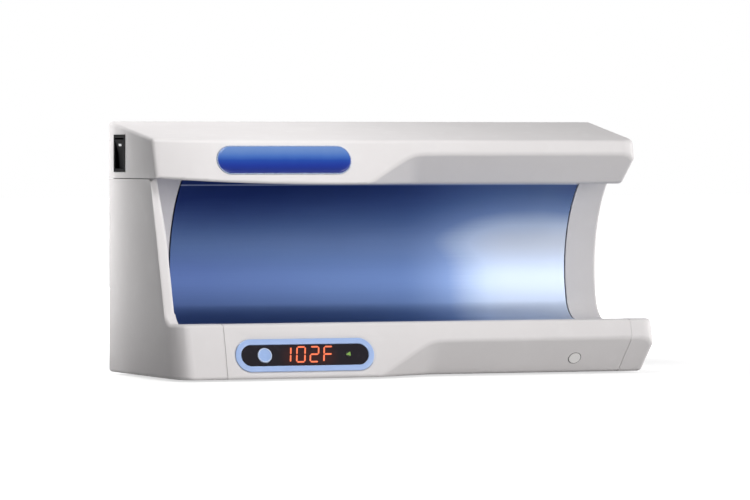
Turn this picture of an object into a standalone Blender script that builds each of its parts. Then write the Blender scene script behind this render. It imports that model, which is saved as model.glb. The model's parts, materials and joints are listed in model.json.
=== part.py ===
"""Fluid warming cabinet: an open-fronted bench warmer that holds one bag of fluid.

Metres, +Z up. X runs along the cabinet, the open front faces -Y and the flat back faces +Y.
Depths are measured forward from the back plane. Heights are measured from the lower edge of
the casing, which four thin feet lift off the bench.
"""
import math

import bmesh
import bpy
from mathutils import Matrix, Vector

# Casing
WIDTH = 0.400
HEIGHT = 0.192
FOOT_LIFT = 0.0015
WALL = 0.0026
GAP = 0.0003
SEAM = 0.0012
HOOD_SEAM = 0.0006
HOOD_DEPTH = 0.102
TOP_SLOPE = math.radians(8.2)
FRONT_LEAN = math.radians(16.0)
SIDE_DRAFT = math.radians(2.6)
LEFT_CORNER_X = 0.014
LEFT_CORNER_DEPTH = 0.026
HOOD_CORNER_X = 0.046
HOOD_CORNER_DEPTH = 0.008
RIM_DROP = 0.0048
RIM_INSET = 0.008
RIM_RUN = 0.14
RIM_STEPS = 8
RIGHT_CORNER_RADIUS = 0.012
CORNER_STEPS = 8
EDGE_ROUND = 0.0026
EDGE_STEPS = 3
SOFT_ANGLE = math.radians(40.0)
SHORTEST = 0.0012
MERGE = 0.00001

# Hood, shelf and the seams between the mouldings
HOOD_TALL = 0.0433
RIDGE_DROP = 0.025
HOOD_FLOOR = HEIGHT - HOOD_TALL
HOOD_RIDGE = HEIGHT - RIDGE_DROP
SHELF_TOP = 0.0406
SHELF_RIDGE = 0.0264
LEFT_END = 0.0443
RIGHT_END = 0.0272
LEFT_SEAM = LEFT_END - WIDTH / 2
RIGHT_SEAM = WIDTH / 2 - RIGHT_END
SEAM_SLANT = 0.004
COVER_BACK = 0.112
LIP_BACK = 0.126

# The facet cut along the lower right of hood and shelf
FACET_TILT = math.radians(35.0)
FACET_SLANT = math.radians(30.0)
FACET_START = 0.010
FACET_BEND = 0.010
FACET_REACH = 1.25
BEND_STEPS = 4
END_TAPER = 0.0055

# Warming bay
BAY_RADIUS = 0.0912
BAY_BACK = 0.0117
BAY_DEPTH = BAY_BACK + BAY_RADIUS
BAY_DROP = 0.0712
BAY_HEIGHT = HOOD_FLOOR - BAY_DROP
LIP_RISE = 0.0038
BAY_FLOOR = SHELF_TOP - LIP_RISE
FLOOR_FILLET = 0.020
ARC_STEPS = 18
SIDE_WALL = 0.009
SIDE_THIN = 0.006
THIN_DROP = 0.042
SIDE_SETBACK = 0.0198
SIDE_FILLET = 0.012

# Sheets, mats and insulation
LINER_THICK = 0.0015
MAT_THICK = 0.0012
MAT_MARGIN = 0.012
WALL_PAD_THICK = 0.004
FLOOR_PAD_THICK = 0.006
REAR_THICK = 0.0015
BASE_THICK = 0.0015
BASE_RAISE = 0.001
FRAME_THICK = 0.0012
CEILING_THICK = 0.002
CEILING_LAP = 0.006

# Display on the shelf front and badge on the hood front
DISPLAY_INSET = 0.0627
DISPLAY_X = LEFT_SEAM + DISPLAY_INSET
DISPLAY_Z = 0.0174
RING_SIZE = (0.1095, 0.025)
RING_BAND = 0.0044
RING_PROUD = 0.0004
RING_ROUND = 0.0005
RECESS_DEPTH = 0.0008
RECESS_WIDE = 0.002
RING_SEAT = 0.0012
WINDOW_THICK = 0.0012
WINDOW_FLANGE = 0.0018
BUTTON_X = -0.032
BUTTON_DIAMETER = 0.0112
BUTTON_PROUD = 0.0009
BUTTON_TRAVEL = 0.0008
BUTTON_FLANGE = 0.001
BUTTON_STEM = 0.0024
LED_X = 0.034
LED_DIAMETER = 0.004
DIGITS_X = 0.004
DIGITS_SIZE = (0.042, 0.014)
BOARD_THICK = 0.0016
CONTROL_DEPTH = 0.0106
CONTROL_SIZE = (0.122, 0.018)
BADGE_INSET = 0.105
BADGE_DROP = 0.0295
BADGE_X = BADGE_INSET - WIDTH / 2
BADGE_Z = HEIGHT - BADGE_DROP
BADGE_SIZE = (0.107, 0.022)
BADGE_THICK = 0.0018
BADGE_SEAT = 0.0008

# Service plug on the shelf facet
PLUG_INSET = 0.0428
PLUG_X = RIGHT_SEAM - PLUG_INSET
PLUG_Z = 0.011
PLUG_DIAMETER = 0.010
PLUG_HEAD = 0.001
PLUG_BARREL = (0.0064, 0.005)

# Rocker switch on the left side of the hood
SWITCH_DEPTH = 0.0235
SWITCH_DROP = 0.0245
SWITCH_Z = HEIGHT - SWITCH_DROP
BEZEL_SIZE = (0.025, 0.0285)
BEZEL_PROUD = 0.0004
SWITCH_SIZE = (0.022, 0.0255)
SWITCH_LENGTH = 0.020
POCKET_DEPTH = 0.008
PADDLE_SIZE = (0.0186, 0.022)
PADDLE_SLACK = 0.0007
PADDLE_EDGE = 0.0010
PADDLE_DIP = 0.0008
PIVOT_DEPTH = 0.004
PIVOT_DIAMETER = 0.0024
ROCKER_TILT = math.radians(8.0)

# Power inlet in the rear cover
INLET_INSET = 0.050
INLET_DROP = 0.0225
INLET_X = INLET_INSET - WIDTH / 2
INLET_Z = HEIGHT - INLET_DROP
INLET_SIZE = (0.0274, 0.0198)
INLET_LENGTH = 0.022
INLET_WALL = 0.0017
INLET_POCKET = 0.016
INLET_CHAMFER = 0.005
INLET_LIP = 0.003
BLADE_SIZE = (0.002, 0.004, 0.010)
BLADE_PITCH = 0.007

# Power board on the bay ceiling
POWER_INSET = 0.122
POWER_X = POWER_INSET - WIDTH / 2
POWER_DEPTH = 0.066
POWER_SIZE = (0.100, 0.044)
POST_HEIGHT = 0.005
POST_DIAMETER = 0.007
POST_INSET = 0.005
TERMINAL_SIZE = (0.014, 0.018, 0.010)
TRANSFORMER_SIZE = (0.034, 0.030, 0.0165)
RELAY_SIZE = (0.020, 0.015, 0.015)
CAPACITOR_SIZE = (0.012, 0.015)
OUTPUT_SIZE = (0.008, 0.018, 0.009)

# Floor sensors, feet, keyholes, screws and leads
CUTOUT_X = -0.020
CUTOUT_SIZE = (0.014, 0.007)
SENSOR_X = 0.040
SENSOR_SIZE = (0.010, 0.006, 0.003)
POCKET_CLEAR = 0.001
FOOT_DIAMETER = 0.012
FOOT_INSET = 0.022
KEYHOLE_INSET = 0.110
KEYHOLE_DROP = 0.031
KEYHOLE_X = WIDTH / 2 - KEYHOLE_INSET
KEYHOLE_Z = HEIGHT - KEYHOLE_DROP
KEYHOLE_HEAD = 0.010
KEYHOLE_NECK = 0.0052
KEYHOLE_RISE = 0.011
SCREW_HEAD = 0.0062
SCREW_SHANK = 0.003
SCREW_LENGTH = 0.010
SINK_CLEAR = 0.0004
BOSS_RADIUS = 0.0045
BOSS_LENGTH = 0.016
BOSS_SINK = 0.0006
LEFT_BOSS_INSET = 0.080
RIGHT_BOSS_INSET = 0.040
LOWER_BOSS_INSET = 0.015
LEAD_DIAMETER = 0.002
LEAD_STEP = 0.001
FAR = 0.30
ROUND_STEPS = 24

TOP_FRONT = HEIGHT - HOOD_DEPTH * math.tan(TOP_SLOPE)
FRONT_FOOT = HOOD_DEPTH + TOP_FRONT * math.tan(FRONT_LEAN)
EDGE_RADIUS = EDGE_ROUND * math.tan((math.pi / 2 - FRONT_LEAN) / 2)
DEPTH = FRONT_FOOT - EDGE_RADIUS * (math.tan(FRONT_LEAN) + 1 / math.cos(FRONT_LEAN) - 1)
BACK_Y = DEPTH / 2


def place(x, depth, z):
    """World point from a place across, a depth forward of the back and a height."""
    return Vector((x, BACK_Y - depth, FOOT_LIFT + z))


def front_depth(z):
    """Depth of the leaning front face at a height."""
    return HOOD_DEPTH + (TOP_FRONT - z) * math.tan(FRONT_LEAN)


def half_width(depth):
    """Half the casing's width at a depth; the sides draw in towards the front."""
    return WIDTH / 2 - depth * math.tan(SIDE_DRAFT)


def make(name, bm):
    """New object from a bmesh, with its faces pointing out."""
    bmesh.ops.recalc_face_normals(bm, faces=bm.faces)
    mesh = bpy.data.meshes.new(name)
    bm.to_mesh(mesh)
    bm.free()
    obj = bpy.data.objects.new(name, mesh)
    bpy.context.collection.objects.link(obj)
    return obj


def loft(lower, upper):
    """Closed bmesh between two outlines with the same number of points."""
    bm = bmesh.new()
    low = [bm.verts.new(point) for point in lower]
    high = [bm.verts.new(point) for point in upper]
    count = len(low)
    for i in range(count):
        j = (i + 1) % count
        bm.faces.new((low[i], low[j], high[j], high[i]))
    bm.faces.new(low)
    bm.faces.new(high)
    bmesh.ops.recalc_face_normals(bm, faces=bm.faces)
    return bm


def hull(name, points):
    """Convex solid round a set of points."""
    bm = bmesh.new()
    for point in points:
        bm.verts.new(point)
    made = bmesh.ops.convex_hull(bm, input=bm.verts)
    loose = [item for item in made["geom_interior"] if isinstance(item, bmesh.types.BMVert)]
    bmesh.ops.delete(bm, geom=loose, context="VERTS")
    bmesh.ops.dissolve_limit(bm, angle_limit=0.001, verts=bm.verts, edges=bm.edges)
    return make(name, bm)


def slice_off(bm, point, normal, inset=0.0):
    """Remove what lies beyond a plane that is first moved inwards by the inset."""
    normal = Vector(normal).normalized()
    geometry = bm.verts[:] + bm.edges[:] + bm.faces[:]
    made = bmesh.ops.bisect_plane(bm, geom=geometry, dist=1e-7, plane_co=point - normal * inset,
                                  plane_no=normal, clear_outer=True)
    rim = [item for item in made["geom_cut"] if isinstance(item, bmesh.types.BMEdge)]
    if rim:
        bmesh.ops.edgeloop_fill(bm, edges=rim)
    bmesh.ops.recalc_face_normals(bm, faces=bm.faces)


def combine(target, tool, operation):
    """Apply a Boolean with another object, which is then removed."""
    modifier = target.modifiers.new(operation, "BOOLEAN")
    modifier.operation = operation
    modifier.object = tool
    graph = bpy.context.evaluated_depsgraph_get()
    mesh = bpy.data.meshes.new_from_object(target.evaluated_get(graph))
    target.modifiers.clear()
    target.data = mesh
    bpy.data.objects.remove(tool)


def cut(target, *tools):
    """Subtract each tool from the target."""
    for tool in tools:
        combine(target, tool, "DIFFERENCE")


def add(target, *pieces):
    """Weld each piece to the target."""
    for piece in pieces:
        combine(target, piece, "UNION")


def round_edges(obj, pick, width=EDGE_ROUND, steps=EDGE_STEPS):
    """Round the outer edges that a test on their ends and their angle picks."""
    bm = bmesh.new()
    bm.from_mesh(obj.data)
    bmesh.ops.remove_doubles(bm, verts=bm.verts, dist=SHORTEST)
    bmesh.ops.dissolve_limit(bm, angle_limit=0.002, verts=bm.verts, edges=bm.edges)
    edges = []
    for edge in bm.edges:
        sharp = len(edge.link_faces) == 2 and edge.calc_face_angle() > SOFT_ANGLE
        if sharp and edge.is_convex and pick(edge.verts[0].co, edge.verts[1].co):
            edges.append(edge)
    bmesh.ops.bevel(bm, geom=edges, offset=width, offset_type="OFFSET", segments=steps, profile=0.5,
                    affect="EDGES", clamp_overlap=False)
    bmesh.ops.remove_doubles(bm, verts=bm.verts, dist=MERGE)
    bmesh.ops.dissolve_degenerate(bm, dist=MERGE, edges=bm.edges)
    bmesh.ops.recalc_face_normals(bm, faces=bm.faces)
    bm.to_mesh(obj.data)
    bm.free()


def finish(obj, colour, roughness, metallic=0.0):
    """Shade the piece smooth and give it its own material."""
    material = bpy.data.materials.new(obj.name)
    material.use_nodes = True
    shader = material.node_tree.nodes["Principled BSDF"]
    shader.inputs["Base Color"].default_value = (*colour, 1.0)
    shader.inputs["Roughness"].default_value = roughness
    shader.inputs["Metallic"].default_value = metallic
    obj.data.materials.clear()
    obj.data.materials.append(material)
    if obj.type == "MESH":
        obj.data.shade_smooth()
        obj.data.set_sharp_from_angle(angle=math.radians(30.0))
    return obj


PLASTIC = (0.72, 0.71, 0.70)
STEEL = (0.55, 0.56, 0.58)
BLACK = (0.02, 0.02, 0.022)
BOARD_GREEN = (0.02, 0.16, 0.07)
PAD_WHITE = (0.80, 0.80, 0.76)
COPPER_RED = (0.35, 0.06, 0.04)


# Outlines and solids that the mouldings share

def oval_corner(front, inset, skin):
    """Points (x, depth) round the left front corner of shelf and side wall, smooth into both faces."""
    wide = LEFT_CORNER_X - inset
    deep = LEFT_CORNER_DEPTH - inset
    start_depth = front - deep
    centre_x = wide - half_width(start_depth) + skin
    points = []
    for i in range(CORNER_STEPS + 1):
        turn = math.pi / 2 * i / CORNER_STEPS
        points.append((centre_x - wide * math.cos(turn), start_depth + deep * math.sin(turn)))
    return points


def creased_corner(front, inset, skin):
    """Points (x, depth) of the hood's left front corner: a crease, then a long curve into the front."""
    wide = HOOD_CORNER_X - inset
    start_depth = front - HOOD_CORNER_DEPTH
    start_x = skin - half_width(start_depth)
    points = []
    for i in range(CORNER_STEPS + 1):
        rest = 1 - i / CORNER_STEPS
        points.append((start_x + wide * (1 - rest), front - HOOD_CORNER_DEPTH * rest ** 2))
    return points


def plan_outline(front, inset, back, corner):
    """Points (x, depth) of a level section, with a given left and a round right front corner."""
    skin = inset / math.cos(SIDE_DRAFT)
    radius = RIGHT_CORNER_RADIUS - inset
    right_depth = front - radius
    right_x = half_width(right_depth) - skin - radius / math.cos(SIDE_DRAFT)
    points = [(skin - half_width(back), back)] + corner(front, inset, skin)
    for i in range(CORNER_STEPS + 1):
        turn = math.pi / 2 - (math.pi / 2 - SIDE_DRAFT) * i / CORNER_STEPS
        points.append((right_x + radius * math.cos(turn), right_depth + radius * math.sin(turn)))
    points.append((half_width(back) - skin, back))
    return points


def facet_tool(ridge, foot, inset):
    """Wedge that cuts the lower right front back below its ridge, from a slanting start."""
    facet_normal = Vector((0, -math.cos(FACET_TILT), -math.sin(FACET_TILT)))
    below = 2 * foot - ridge
    start = Vector((FACET_START, ridge))
    on_ridge = Vector((FACET_START + FACET_BEND, ridge))
    slant = Vector((math.cos(FACET_SLANT), math.sin(FACET_SLANT)))
    on_slant = start - FACET_BEND * slant
    outline = []
    for i in range(BEND_STEPS + 1):
        share = i / BEND_STEPS
        rest = 1 - share
        outline.append(rest ** 2 * on_ridge + 2 * share * rest * start + share ** 2 * on_slant)
    outline.append(start - slant * (ridge - below) / slant.y)
    floor_depth = front_depth(ridge) - (ridge - below) * math.tan(FACET_TILT)
    near = place(on_ridge.x, floor_depth, below)
    far = place(FAR, floor_depth, below)
    points = [near, far, far + (place(FAR, front_depth(ridge), ridge) - far) * FACET_REACH]
    for x, z in outline:
        points.append(near + (place(x, front_depth(z), z) - near) * FACET_REACH)
    beyond = (FACET_REACH - 1) * (front_depth(below) - floor_depth)
    points.append(place(FAR, front_depth(below) + beyond, below))
    return hull("facet_tool", [point - facet_normal * inset for point in points])


def end_plane(ridge, foot):
    """Plane that tapers the right end below the ridge: a point on it and its outward normal."""
    front = front_depth(ridge)
    foot_depth = front - (ridge - foot) * math.tan(FACET_TILT)
    corner = place(half_width(front), front, ridge)
    back = place(half_width(0), 0, foot)
    taper = place(half_width(foot_depth) - END_TAPER, foot_depth, foot)
    normal = (back - corner).cross(taper - corner)
    if normal.x < 0:
        normal.negate()
    return corner, normal


def casing(name, low, high, ridge, foot, corner, inset=0.0, back=0.0):
    """Casing between two heights, drawn in by an inset: leaning front, sloping top and facet."""
    outlines = []
    for z in (low, high):
        front = front_depth(z) - inset / math.cos(FRONT_LEAN)
        outlines.append([place(x, depth, z) for x, depth in plan_outline(front, inset, back, corner)])
    bm = loft(*outlines)
    slice_off(bm, place(0, 0, HEIGHT), (0, -math.sin(TOP_SLOPE), math.cos(TOP_SLOPE)), inset)
    point, normal = end_plane(ridge, foot)
    slice_off(bm, point, normal, inset)
    obj = make(name, bm)
    cut(obj, facet_tool(ridge, foot, inset))
    return obj


def trim(obj, point, normal):
    """Slice a finished solid off at a plane."""
    bm = bmesh.new()
    bm.from_mesh(obj.data)
    slice_off(bm, point, normal)
    bm.to_mesh(obj.data)
    bm.free()


def bay_curve(grow, top):
    """Points (depth, z) down the bay's curved back and round into its floor."""
    radius = BAY_RADIUS + grow
    fillet = FLOOR_FILLET + grow
    inner = BAY_RADIUS - FLOOR_FILLET
    fillet_z = BAY_FLOOR + FLOOR_FILLET
    fillet_depth = BAY_DEPTH - math.sqrt(inner ** 2 - (BAY_HEIGHT - fillet_z) ** 2)
    first = math.asin((top - BAY_HEIGHT) / radius)
    last = math.atan2(fillet_z - BAY_HEIGHT, BAY_DEPTH - fillet_depth)
    points = []
    for i in range(ARC_STEPS + 1):
        turn = first + (last - first) * i / ARC_STEPS
        points.append((BAY_DEPTH - radius * math.cos(turn), BAY_HEIGHT + radius * math.sin(turn)))
    steps = ARC_STEPS // 2
    for i in range(1, steps + 1):
        turn = last + (-math.pi / 2 - last) * i / steps
        points.append((fillet_depth - fillet * math.cos(turn), fillet_z + fillet * math.sin(turn)))
    return points


def across(name, profile, left, right):
    """Solid of a (depth, z) profile between two ends, each a width or a function of depth."""
    ends = []
    for end in (left, right):
        ends.append([place(end(depth) if callable(end) else end, depth, z) for depth, z in profile])
    return make(name, loft(*ends))


def bay_tool(grow):
    """The warming bay, open to the front and the right; its left wall thins from a foot upwards."""
    above = HOOD_FLOOR + WALL * 3
    foot = HOOD_FLOOR - THIN_DROP
    lip = LIP_BACK + grow
    curve = bay_curve(grow, above)
    below = next(i for i, point in enumerate(curve) if point[1] < foot)
    (near_depth, near_z), (far_depth, far_z) = curve[below - 1], curve[below]
    share = (near_z - foot) / (near_z - far_z)
    curve.insert(below, (near_depth + share * (far_depth - near_depth), foot))
    profile = [(FAR, foot), (FAR, above)] + curve
    profile += [(lip, BAY_FLOOR - grow), (lip, SHELF_TOP - grow), (FAR, SHELF_TOP - grow)]
    thinning = (SIDE_WALL - SIDE_THIN) / THIN_DROP
    left = []
    for depth, z in profile:
        wall = SIDE_WALL - grow - thinning * max(0.0, z - foot)
        left.append(place(wall - half_width(depth), depth, z))
    bm = loft(left, [place(FAR, depth, z) for depth, z in profile])
    bm.verts.ensure_lookup_table()
    bmesh.ops.connect_verts(bm, verts=[bm.verts[0], bm.verts[below + 2]])
    return make("bay_tool", bm)


def side_tool(grow):
    """What is missing in front of the side wall's slanting front edge."""
    above = HOOD_FLOOR + WALL * 3
    setback = SIDE_SETBACK + grow / math.cos(FRONT_LEAN)
    floor = SHELF_TOP - grow
    radius = SIDE_FILLET + grow
    centre_z = floor + radius
    centre_depth = front_depth(centre_z) - setback + radius / math.cos(FRONT_LEAN)
    profile = [(FAR, above), (front_depth(above) - setback, above)]
    for i in range(CORNER_STEPS + 1):
        turn = FRONT_LEAN + (math.pi / 2 - FRONT_LEAN) * i / CORNER_STEPS
        profile.append((centre_depth - radius * math.cos(turn), centre_z - radius * math.sin(turn)))
    profile.append((FAR, floor))
    return across("side_tool", profile, -FAR, lambda depth: SIDE_WALL + GAP - grow - half_width(depth))


def lower_casing(name, inset=0.0, back=0.0, top=HOOD_FLOOR - HOOD_SEAM):
    """Casing below the hood."""
    return casing(name, inset, top, SHELF_RIDGE, 0.0, oval_corner, inset, back)


def box(name, x_range, depth_range, z_range):
    """Rectangular block."""
    x0, x1 = x_range
    profile = [(depth_range[0], z_range[0]), (depth_range[1], z_range[0]),
               (depth_range[1], z_range[1]), (depth_range[0], z_range[1])]
    return across(name, profile, x0, x1)


def face_frame(origin, right, up):
    """Frame on a face: first axis to the right, second up the face, third out of it."""
    right = Vector(right).normalized()
    up = Vector(up).normalized()
    out = right.cross(up)
    return Matrix.Translation(origin) @ Matrix((right, up, out)).transposed().to_4x4()


def slab(name, frame, outline, low, high):
    """Flat solid on a face, from an outline and two heights above the face."""
    lower = [frame @ Vector((a, b, low)) for a, b in outline]
    upper = [frame @ Vector((a, b, high)) for a, b in outline]
    return make(name, loft(lower, upper))


def stadium(size, grow=0.0, centre=(0.0, 0.0)):
    """Outline with straight long sides and half-round ends."""
    radius = size[1] / 2 + grow
    straight = (size[0] - size[1]) / 2
    points = []
    for side in (1, -1):
        for i in range(ROUND_STEPS // 2 + 1):
            turn = side * math.pi / 2 - math.pi * i / (ROUND_STEPS // 2)
            points.append((centre[0] + side * (straight + radius * math.cos(turn) * side),
                           centre[1] + radius * math.sin(turn)))
    return points


def disc(diameter, centre=(0.0, 0.0)):
    """Round outline."""
    points = []
    for i in range(ROUND_STEPS):
        turn = 2 * math.pi * i / ROUND_STEPS
        points.append((centre[0] + diameter / 2 * math.cos(turn),
                       centre[1] + diameter / 2 * math.sin(turn)))
    return points


def rectangle(size, centre=(0.0, 0.0)):
    """Rectangular outline."""
    a, b = size[0] / 2, size[1] / 2
    return [(centre[0] + i * a, centre[1] + j * b) for i, j in ((-1, -1), (1, -1), (1, 1), (-1, 1))]


def at_back(left, right):
    """True where an edge lies on the open back or on a cut face."""
    limit = BACK_Y - GAP
    return left.y > limit and right.y > limit


def at_lip(left, right):
    """True on the back edge of the shelf's lip."""
    return all(abs(BACK_Y - point.y - LIP_BACK) < 2 * GAP for point in (left, right))


for old in list(bpy.data.objects):
    bpy.data.objects.remove(old)

FRONT_UP = (0, math.sin(FRONT_LEAN), math.cos(FRONT_LEAN))
FACET_UP = (0, -math.sin(FACET_TILT), math.cos(FACET_TILT))
display_frame = face_frame(place(DISPLAY_X, front_depth(DISPLAY_Z), DISPLAY_Z), (1, 0, 0), FRONT_UP)
badge_frame = face_frame(place(BADGE_X, front_depth(BADGE_Z), BADGE_Z), (1, 0, 0), FRONT_UP)
plug_depth = front_depth(SHELF_RIDGE) - (SHELF_RIDGE - PLUG_Z) * math.tan(FACET_TILT)
plug_frame = face_frame(place(PLUG_X, plug_depth, PLUG_Z), (1, 0, 0), FACET_UP)
switch_frame = face_frame(place(-half_width(SWITCH_DEPTH), SWITCH_DEPTH, SWITCH_Z),
                          (math.sin(SIDE_DRAFT), -math.cos(SIDE_DRAFT), 0), (0, 0, 1))
rear_frame = face_frame(place(0, 0, 0), (-1, 0, 0), (0, 0, 1))

# Screw bosses that the rear cover fastens to
hood_boss_z = HEIGHT - (REAR_THICK + GAP + BOSS_LENGTH) * math.tan(TOP_SLOPE) - BOSS_RADIUS - BOSS_SINK
lower_boss_z = WALL + BOSS_RADIUS - BOSS_SINK
first_boss_x = LEFT_BOSS_INSET - WIDTH / 2
last_boss_x = WIDTH / 2 - RIGHT_BOSS_INSET
hood_bosses = [(x, hood_boss_z) for x in (first_boss_x, (first_boss_x + last_boss_x) / 2, last_boss_x)]
left_boss = (LOWER_BOSS_INSET - WIDTH / 2, lower_boss_z)
right_boss = (WIDTH / 2 - LOWER_BOSS_INSET, lower_boss_z)


def add_boss(obj, spot):
    """Round post with a screw hole, welded to the inside of a moulding."""
    centre = (-spot[0], spot[1])
    near = -REAR_THICK - GAP
    add(obj, slab("boss", rear_frame, disc(2 * BOSS_RADIUS, centre), near - BOSS_LENGTH, near))
    bore = SCREW_SHANK + 2 * GAP
    cut(obj, slab("bore", rear_frame, disc(bore, centre), near - SCREW_LENGTH - GAP, near + GAP))


# Hood shell, whose front hangs lower than its sides
rim_low = HOOD_FLOOR - RIM_DROP
rim_back = front_depth(HOOD_RIDGE) - (HOOD_RIDGE - rim_low) * math.tan(FACET_TILT) - 2 * WALL
hood = casing("hood_shell", rim_low, HEIGHT + WALL, HOOD_RIDGE, HOOD_FLOOR, creased_corner)
cut(hood, box("behind_rim", (-FAR, FAR), (-FAR, rim_back), (0, HOOD_FLOOR)))
rim_outline = [(-FAR, 0), (-FAR, HOOD_FLOOR)]
for step in range(RIM_STEPS + 1):
    share = step / RIM_STEPS
    rim_outline.append((RIM_INSET - WIDTH / 2 + RIM_RUN * share, rim_low + RIM_DROP * (1 - share) ** 2))
rim_outline.append((RIM_INSET - WIDTH / 2 + RIM_RUN, 0))
rim_ends = [[place(x, depth, z) for x, z in rim_outline] for depth in (rim_back - WALL, FAR)]
cut(hood, make("below_rim", loft(*rim_ends)))


def hood_edge(one, two):
    """Every outer edge but the back rim, the seam over the left side wall and what is behind the front."""
    seam = FOOT_LIFT + HOOD_FLOOR + GAP
    on_seam = one.z < seam and two.z < seam and max(one.x, two.x) < LEFT_CORNER_X / 2 - WIDTH / 2
    behind = one.z < seam and two.z < seam and min(one.y, two.y) > BACK_Y - rim_back - GAP
    return not (at_back(one, two) or on_seam or behind)


round_edges(hood, hood_edge)
cut(hood, casing("hood_room", rim_low - WALL, HEIGHT + WALL, HOOD_RIDGE, HOOD_FLOOR, creased_corner, WALL, -WALL))
for boss_spot in hood_bosses:
    add_boss(hood, boss_spot)
switch_hole = rectangle([side + 2 * GAP for side in SWITCH_SIZE])
cut(hood, slab("switch_hole", switch_frame, switch_hole, -2 * WALL, WALL))
cut(hood, slab("badge_seat", badge_frame, stadium(BADGE_SIZE, GAP), -BADGE_SEAT, WALL))
finish(hood, PLASTIC, 0.42)

# Left end housing: side wall, curved band and left corner of the shelf
left = lower_casing("left_end_housing")
trim(left, place(LEFT_SEAM - SEAM / 2, 0, 0), (1, 0, 0))
cut(left, bay_tool(0), side_tool(0))


def left_edge(one, two):
    """Outer edges away from the back, the top seam and the seam to the front cover."""
    seam_x = LEFT_SEAM - SEAM / 2 - GAP
    seam_z = FOOT_LIFT + HOOD_FLOOR - HOOD_SEAM - GAP
    low = FOOT_LIFT + SHELF_TOP + SIDE_FILLET / 2
    inner = all(abs(p.x + half_width(BACK_Y - p.y) - SIDE_WALL) < 2 * GAP for p in (one, two))
    fading = inner and min(one.z, two.z) < low
    on_seam = min(one.x, two.x) > seam_x or min(one.z, two.z) > seam_z
    return not (at_back(one, two) or on_seam or fading or at_lip(one, two))


round_edges(left, left_edge)
room = lower_casing("left_room", WALL, -WALL, HOOD_FLOOR + WALL)
cut(room, bay_tool(WALL), side_tool(WALL))
cut(left, room)
add_boss(left, left_boss)
finish(left, PLASTIC, 0.42)


def seam_tool(shift):
    """Everything left of the slanting right seam."""
    foot = RIGHT_SEAM + shift - SEAM_SLANT
    low = foot - SEAM_SLANT
    outline = [(-FAR, -SHELF_RIDGE), (low, -SHELF_RIDGE), (RIGHT_SEAM + shift, SHELF_RIDGE),
               (RIGHT_SEAM + shift, HEIGHT), (-FAR, HEIGHT)]
    ends = [[place(x, depth, z) for x, z in outline] for depth in (-FAR, FAR)]
    return make("seam_tool", loft(*ends))


# Right end cap: curved band and right corner of the shelf
right = lower_casing("right_end_cap")
cut(right, bay_tool(0), seam_tool(SEAM / 2))


def right_edge(one, two):
    """Outer edges away from the back, the top seam and the seam to the front cover."""
    seam_x = RIGHT_SEAM + SEAM / 2 + GAP
    seam_z = FOOT_LIFT + HOOD_FLOOR - HOOD_SEAM - GAP
    on_seam = max(one.x, two.x) < seam_x or min(one.z, two.z) > seam_z
    return not (at_back(one, two) or on_seam or at_lip(one, two))


round_edges(right, right_edge)
room = lower_casing("right_room", WALL, -WALL, HOOD_FLOOR + WALL)
cut(room, bay_tool(WALL))
cut(right, room)
add_boss(right, right_boss)
finish(right, PLASTIC, 0.42)

# Shelf front cover, with a ledge that carries the front edge of the liner
ledge = BAY_FLOOR - LINER_THICK - GAP


def cover_tool(grow):
    """The space over the cover's lip and ledge."""
    profile = [(FAR, HEIGHT), (-FAR, HEIGHT), (-FAR, ledge - grow), (LIP_BACK + grow, ledge - grow),
               (LIP_BACK + grow, SHELF_TOP - grow), (FAR, SHELF_TOP - grow)]
    return across("cover_tool", profile, -FAR, FAR)


cover = lower_casing("shelf_front_cover")
trim(cover, place(0, COVER_BACK, 0), (0, 1, 0))
trim(cover, place(LEFT_SEAM + SEAM / 2, 0, 0), (-1, 0, 0))
combine(cover, seam_tool(-SEAM / 2), "INTERSECT")
cut(cover, cover_tool(0))


def cover_edge(one, two):
    """Long outer edges of the cover, ahead of its back edges."""
    back = BACK_Y - LIP_BACK + GAP
    level = abs(one.x - two.x) > abs(one.z - two.z) + abs(one.y - two.y)
    return level and max(one.y, two.y) < back + EDGE_ROUND


round_edges(cover, cover_edge)
room = lower_casing("cover_room", WALL, -WALL, HOOD_FLOOR + WALL)
cut(room, cover_tool(WALL))
cut(cover, room)
window_size = (RING_SIZE[0] - 2 * RING_BAND, RING_SIZE[1] - 2 * RING_BAND)
post_x = CONTROL_SIZE[0] / 2 - POST_INSET
for side in (-1, 1):
    centre = (side * post_x, 0)
    add(cover, slab("post", display_frame, disc(POST_DIAMETER, centre), -CONTROL_DEPTH + GAP, -WALL / 2))
    cut(cover, slab("bore", display_frame, disc(SCREW_SHANK + 2 * GAP, centre), -CONTROL_DEPTH, -WALL))
recess_low = [display_frame @ Vector((a, b, -RECESS_DEPTH)) for a, b in stadium(RING_SIZE, 2 * GAP)]
recess_high = [display_frame @ Vector((a, b, RECESS_DEPTH)) for a, b in stadium(RING_SIZE, 2 * RECESS_WIDE)]
cut(cover, make("ring_recess", loft(recess_low, recess_high)),
    slab("ring_seat", display_frame, stadium(RING_SIZE, GAP), -RING_SEAT, WALL),
    slab("window_hole", display_frame, stadium(window_size, WINDOW_FLANGE + GAP), -2 * WALL, WALL),
    slab("plug_seat", plug_frame, disc(PLUG_DIAMETER + 2 * GAP), -PLUG_HEAD - GAP, WALL),
    slab("plug_hole", plug_frame, disc(PLUG_BARREL[0] + 2 * GAP), -2 * WALL, WALL))
finish(cover, PLASTIC, 0.42)

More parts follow.
